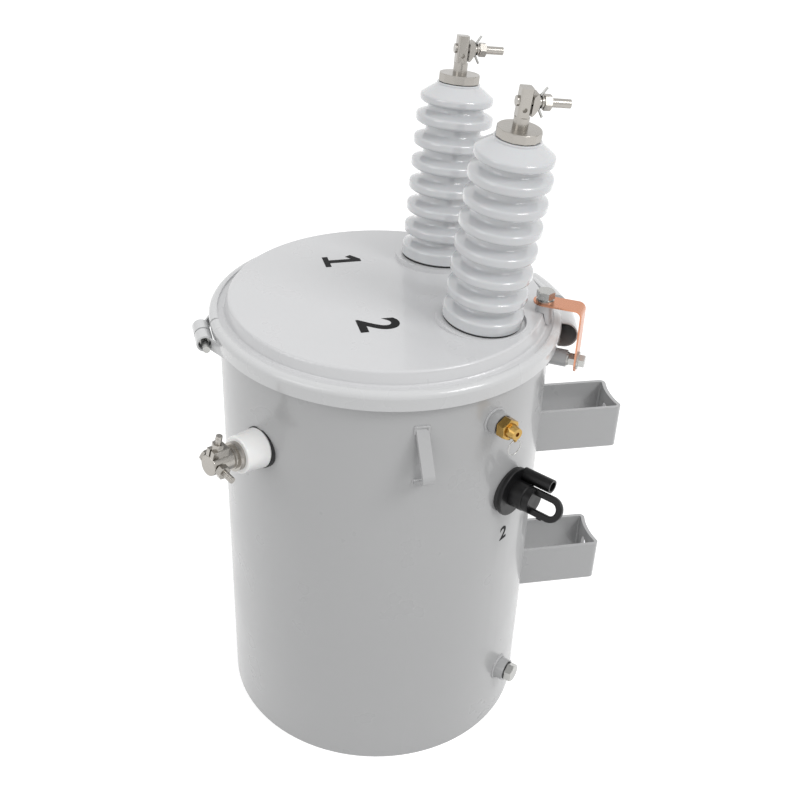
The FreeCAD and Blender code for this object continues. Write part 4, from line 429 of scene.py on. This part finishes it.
# Each coupling's frame, the radius of its bead's line and the bead's own radius.
RINGS = {
    "weld_relief": (radial(27.8, 633.5), 18.3, 2.6),
    "weld_drain": (radial(46.2, 99.0), 19.6, 2.8),
    "weld_earth": (EARTH_FRAME, 14.2, 2.4),
}
for name, (place, radius, bead) in RINGS.items():
    weld_ring(name, place, radius, bead)

# Each lug's azimuth, and the lower and upper height and the bead of each of its two ends.
LUGS = {1: 1.2, 2: 181.2}
LUG_ENDS = {"top": (641.0, 651.0, 2.6), "foot": (555.5, 562.5, 2.0)}
LUG_SIDE = 9.3
for number, azimuth in LUGS.items():
    for end, (low, high, bead) in LUG_ENDS.items():
        corners = ((-LUG_SIDE, low), (-LUG_SIDE, high), (LUG_SIDE, high), (LUG_SIDE, low))
        points = [on_wall(lug_frame(azimuth), side, height) for side, height in corners]
        weld(f"weld_lug_{number}_{end}", points, bead)

# Each bracket's height, and the upright lines where its two sides meet the wall.
BRACKETS = {"lower": 198.6, "upper": 484.35}
BRACKET_TURN = 90
BRACKET_SIDES = {"left": -44.3, "right": 44.3}
BRACKET_HALF = 36.0
BRACKET_BEAD = 2.6
for name, centre in BRACKETS.items():
    for label, side in BRACKET_SIDES.items():
        heights = (centre - BRACKET_HALF, centre + BRACKET_HALF)
        points = [on_wall(rotate(BRACKET_TURN), side, height) for height in heights]
        weld(f"weld_bracket_{name}_{label}", points, BRACKET_BEAD)


# Screw threads of the low-voltage terminal
THREAD_SLOT = "tinned_brass"
THREAD_CORE = 4.2
THREAD_PITCH = 1.5
# The ridge's size as a share of the pitch.
THREAD_RIDGE = 0.42

LV_TURN = -55.5
LV_HEIGHT = 566.0
LV_TILT = 6.5
LV_ROLL = 10.0
# Lengths along the terminal's axis, from the tank wall out to its two bolts.
LV_GASKET = 3.5
LV_PORCELAIN = 40.0
LV_COLLAR = 8.0
LV_STEP = 5.0
LV_BAR = 37.0
LV_BOLT_BACK = 11.0
LV_BOLT_X = LV_GASKET + LV_PORCELAIN + WELD_GAP + LV_COLLAR + LV_STEP + LV_BAR - LV_BOLT_BACK
LV_WALL = radial(LV_TURN, LV_HEIGHT) @ shift(TANK_RADIUS, 0, 0)
LV_FRAME = LV_WALL @ rotate(-LV_TILT, "Y") @ rotate(-LV_ROLL, "X")
# Turns a thread's own axis, Z, to Y.
ALONG_Y = rotate(-90, "X")
# Each thread's start on its bolt's axis, and its length.
CROSS_START = 24.8
CROSS_LENGTH = 16.6
UPRIGHT_START = 36.2
UPRIGHT_LENGTH = 12.2


def thread(name, place, length):
    sizes = {
        "Core radius": THREAD_CORE * MM,
        "Length": length * MM,
        "Pitch": THREAD_PITCH * MM,
        "Ridge": THREAD_PITCH * THREAD_RIDGE * MM,
    }
    mesh = grown(name, bpy.data.meshes.new(f"{name}_seed"), THREAD_TREE, sizes, THREAD_SLOT)
    mesh.transform(place)
    finish_piece(name, mesh, THREAD_SLOT)


thread("lv_cross_thread", LV_FRAME @ shift(LV_BOLT_X, CROSS_START, 0) @ ALONG_Y, CROSS_LENGTH)
thread("lv_upright_thread", LV_FRAME @ shift(LV_BOLT_X, 0, UPRIGHT_START), UPRIGHT_LENGTH)


# Painted numerals
MARK_SLOT = "black_plastic"
MARK_PAINT = mark_paint("mark_paint")
# How far the paint stands off its surface, so that the two never share a face.
MARK_LIFT = 0.15
# Cuts in each edge, so that a numeral follows the curve under it.
MARK_CUTS = 2
COVER_MARK_SIZE = 82
COVER_MARK_BOLD = 2.2
COVER_MARK_SPIN = 3
COVER_MARK_STRETCH = 0.95
TANK_MARK_SIZE = 34
TANK_MARK_BOLD = 0.9
# The figure one with its flag and foot, as shares of its size.
FIGURE_ONE = (
    (-0.22, -0.36), (0.26, -0.36), (0.26, -0.25), (0.09, -0.25), (0.09, 0.36), (-0.03, 0.36),
    (-0.24, 0.20), (-0.17, 0.09), (-0.05, 0.18), (-0.05, -0.25), (-0.22, -0.25),
)


def figure_one(size):
    shape = bmesh.new()
    corners = [shape.verts.new((x * size * MM, y * size * MM, 0)) for x, y in FIGURE_ONE]
    outline = shape.faces.new(corners)
    outline.normal_update()
    return shape


def figure_two(size, bold):
    # The plain figure two of Blender's own font, thickened by the given offset.
    curve = bpy.data.curves.new("figure_2", "FONT")
    curve.body = "2"
    curve.size = size * MM
    curve.align_x = "CENTER"
    curve.align_y = "CENTER"
    curve.offset = bold * MM
    curve.resolution_u = 8
    maker = bpy.data.objects.new("figure_2_maker", curve)
    bpy.context.scene.collection.objects.link(maker)
    graph = bpy.context.evaluated_depsgraph_get()
    shape = bmesh.new()
    shape.from_mesh(bpy.data.meshes.new_from_object(maker.evaluated_get(graph)))
    bpy.data.objects.remove(maker)
    return shape


def numeral(name, shape, place_point):
    # Lays a flat figure on a surface of the object, point by point.
    bmesh.ops.triangulate(shape, faces=shape.faces)
    bmesh.ops.subdivide_edges(shape, edges=shape.edges, cuts=MARK_CUTS)
    for vertex in shape.verts:
        vertex.co = place_point(vertex.co.x / MM, vertex.co.y / MM) * MM
    bmesh.ops.recalc_face_normals(shape, faces=shape.faces)
    mesh = bpy.data.meshes.new(name)
    shape.to_mesh(mesh)
    shape.free()
    finish_piece(name, mesh, MARK_SLOT, MARK_PAINT)


def on_cover(azimuth, radius):
    # On the slightly domed panel in the middle of the cover.
    away = math.radians(azimuth)
    centre = Vector((radius * math.cos(away), radius * math.sin(away)))
    turn = math.radians(COVER_MARK_SPIN)

    def point(x, y):
        x *= COVER_MARK_STRETCH
        px = centre.x + x * math.cos(turn) - y * math.sin(turn)
        py = centre.y + x * math.sin(turn) + y * math.cos(turn)
        rise = PANEL_DOME * (1 - (px * px + py * py) / PANEL_RUN ** 2)
        return Vector((px, py, PANEL_TOP + rise + MARK_LIFT))

    return point


def on_tank(azimuth, height):
    def point(x, y):
        turn = math.radians(azimuth) + x / TANK_RADIUS
        reach = TANK_RADIUS + MARK_LIFT
        return Vector((reach * math.cos(turn), reach * math.sin(turn), height + y))

    return point


numeral("mark_cover_1", figure_one(COVER_MARK_SIZE), on_cover(-156.8, 126.7))
numeral("mark_cover_2", figure_two(COVER_MARK_SIZE, COVER_MARK_BOLD), on_cover(-18.1, 108.6))
numeral("mark_tank", figure_two(TANK_MARK_SIZE, TANK_MARK_BOLD), on_tank(38.4, 408.0))


# Floor, light and camera
FLOOR_HALF = 14.0
FLOOR_COLOUR = (0.62, 0.62, 0.62, 1)
FLOOR_GLOW = 0.62
# The world's light grows from the first strength to the second between these two heights.
SKY_HEIGHTS = (-0.2, 1.0)
SKY_STRENGTHS = (0.62, 1.15)
WHITE = (1, 1, 1, 1)
LAMP_TARGET = (0, 0, 0.6)
# Each lamp's place, the length of its sides and its power.
LAMPS = {
    "key": ((1.9, 1.9, 3.0), 1.2, 36),
    "fill": ((1.2, -2.4, 2.2), 1.6, 12),
}
CAMERA_AZIMUTH = -12.5
CAMERA_PITCH = 31.8
CAMERA_ROLL = 2.544
CAMERA_PLACE = (1.4630, -0.2964, 1.4672)
CAMERA_LENS = 49.68
CAMERA_SENSOR = 36.0


def seen_ray(tree):
    # One for the rays that show the background itself: straight, mirrored or through glass.
    path = tree.nodes.new("ShaderNodeLightPath")
    straight = operate(tree, "MAXIMUM", path.outputs["Is Camera Ray"], path.outputs["Is Glossy Ray"])
    return operate(tree, "MAXIMUM", straight, path.outputs["Is Transmission Ray"])


def add_floor():
    # A grey floor for the light, which seen rays find white.
    mesh = bpy.data.meshes.new("floor")
    ends = ((-1, -1), (1, -1), (1, 1), (-1, 1))
    corners = [(x * FLOOR_HALF, y * FLOOR_HALF, 0) for x, y in ends]
    mesh.from_pydata(corners, [], [(0, 1, 2, 3)])
    floor = bpy.data.objects.new("floor", mesh)
    bpy.context.scene.collection.objects.link(floor)
    material = bpy.data.materials.new("floor_white")
    material.use_nodes = True
    tree = material.node_tree
    tree.nodes.clear()
    diffuse = tree.nodes.new("ShaderNodeBsdfDiffuse")
    diffuse.inputs["Color"].default_value = FLOOR_COLOUR
    glow = tree.nodes.new("ShaderNodeEmission")
    tree.links.new(operate(tree, "MULTIPLY", seen_ray(tree), FLOOR_GLOW), glow.inputs["Strength"])
    both = tree.nodes.new("ShaderNodeAddShader")
    tree.links.new(diffuse.outputs[0], both.inputs[0])
    tree.links.new(glow.outputs[0], both.inputs[1])
    output = tree.nodes.new("ShaderNodeOutputMaterial")
    tree.links.new(both.outputs[0], output.inputs["Surface"])
    mesh.materials.append(material)


def add_world():
    # A room that is brighter overhead, and plain white for seen rays.
    world = bpy.data.worlds.new("studio")
    bpy.context.scene.world = world
    world.use_nodes = True
    tree = world.node_tree
    tree.nodes.clear()
    coordinates = tree.nodes.new("ShaderNodeTexCoord")
    split = tree.nodes.new("ShaderNodeSeparateXYZ")
    tree.links.new(coordinates.outputs["Generated"], split.inputs[0])
    strength = map_range(tree, split.outputs["Z"], *SKY_HEIGHTS, *SKY_STRENGTHS)
    room = tree.nodes.new("ShaderNodeBackground")
    tree.links.new(strength, room.inputs["Strength"])
    white = tree.nodes.new("ShaderNodeBackground")
    white.inputs["Color"].default_value = WHITE
    choose = tree.nodes.new("ShaderNodeMixShader")
    tree.links.new(seen_ray(tree), choose.inputs[0])
    tree.links.new(room.outputs[0], choose.inputs[1])
    tree.links.new(white.outputs[0], choose.inputs[2])
    output = tree.nodes.new("ShaderNodeOutputWorld")
    tree.links.new(choose.outputs[0], output.inputs["Surface"])


def add_lamp(name, place, side, power):
    lamp = bpy.data.lights.new(name, "AREA")
    lamp.shape = "SQUARE"
    lamp.size = side
    lamp.energy = power
    thing = bpy.data.objects.new(name, lamp)
    thing.location = place
    aim = Vector(LAMP_TARGET) - Vector(place)
    thing.rotation_euler = aim.to_track_quat("-Z", "Y").to_euler()
    bpy.context.scene.collection.objects.link(thing)


def add_camera():
    data = bpy.data.cameras.new("camera")
    data.sensor_width = CAMERA_SENSOR
    data.lens = CAMERA_LENS
    turn = math.radians(CAMERA_AZIMUTH)
    pitch = math.radians(CAMERA_PITCH)
    roll = math.radians(CAMERA_ROLL)
    level = math.cos(pitch)
    forward = Vector((-math.cos(turn) * level, -math.sin(turn) * level, -math.sin(pitch)))
    right = Vector((-math.sin(turn), math.cos(turn), 0))
    up = right.cross(forward)
    rolled_right = math.cos(roll) * right + math.sin(roll) * up
    rolled_up = -math.sin(roll) * right + math.cos(roll) * up
    camera = bpy.data.objects.new("camera", data)
    axes = Matrix((rolled_right, rolled_up, -forward)).transposed()
    camera.matrix_world = Matrix.Translation(CAMERA_PLACE) @ axes.to_4x4()
    bpy.context.scene.collection.objects.link(camera)
    bpy.context.scene.camera = camera


add_floor()
add_world()
for name, (place, side, power) in LAMPS.items():
    add_lamp(name, place, side, power)
add_camera()
bpy.context.scene.view_settings.view_transform = "Standard"
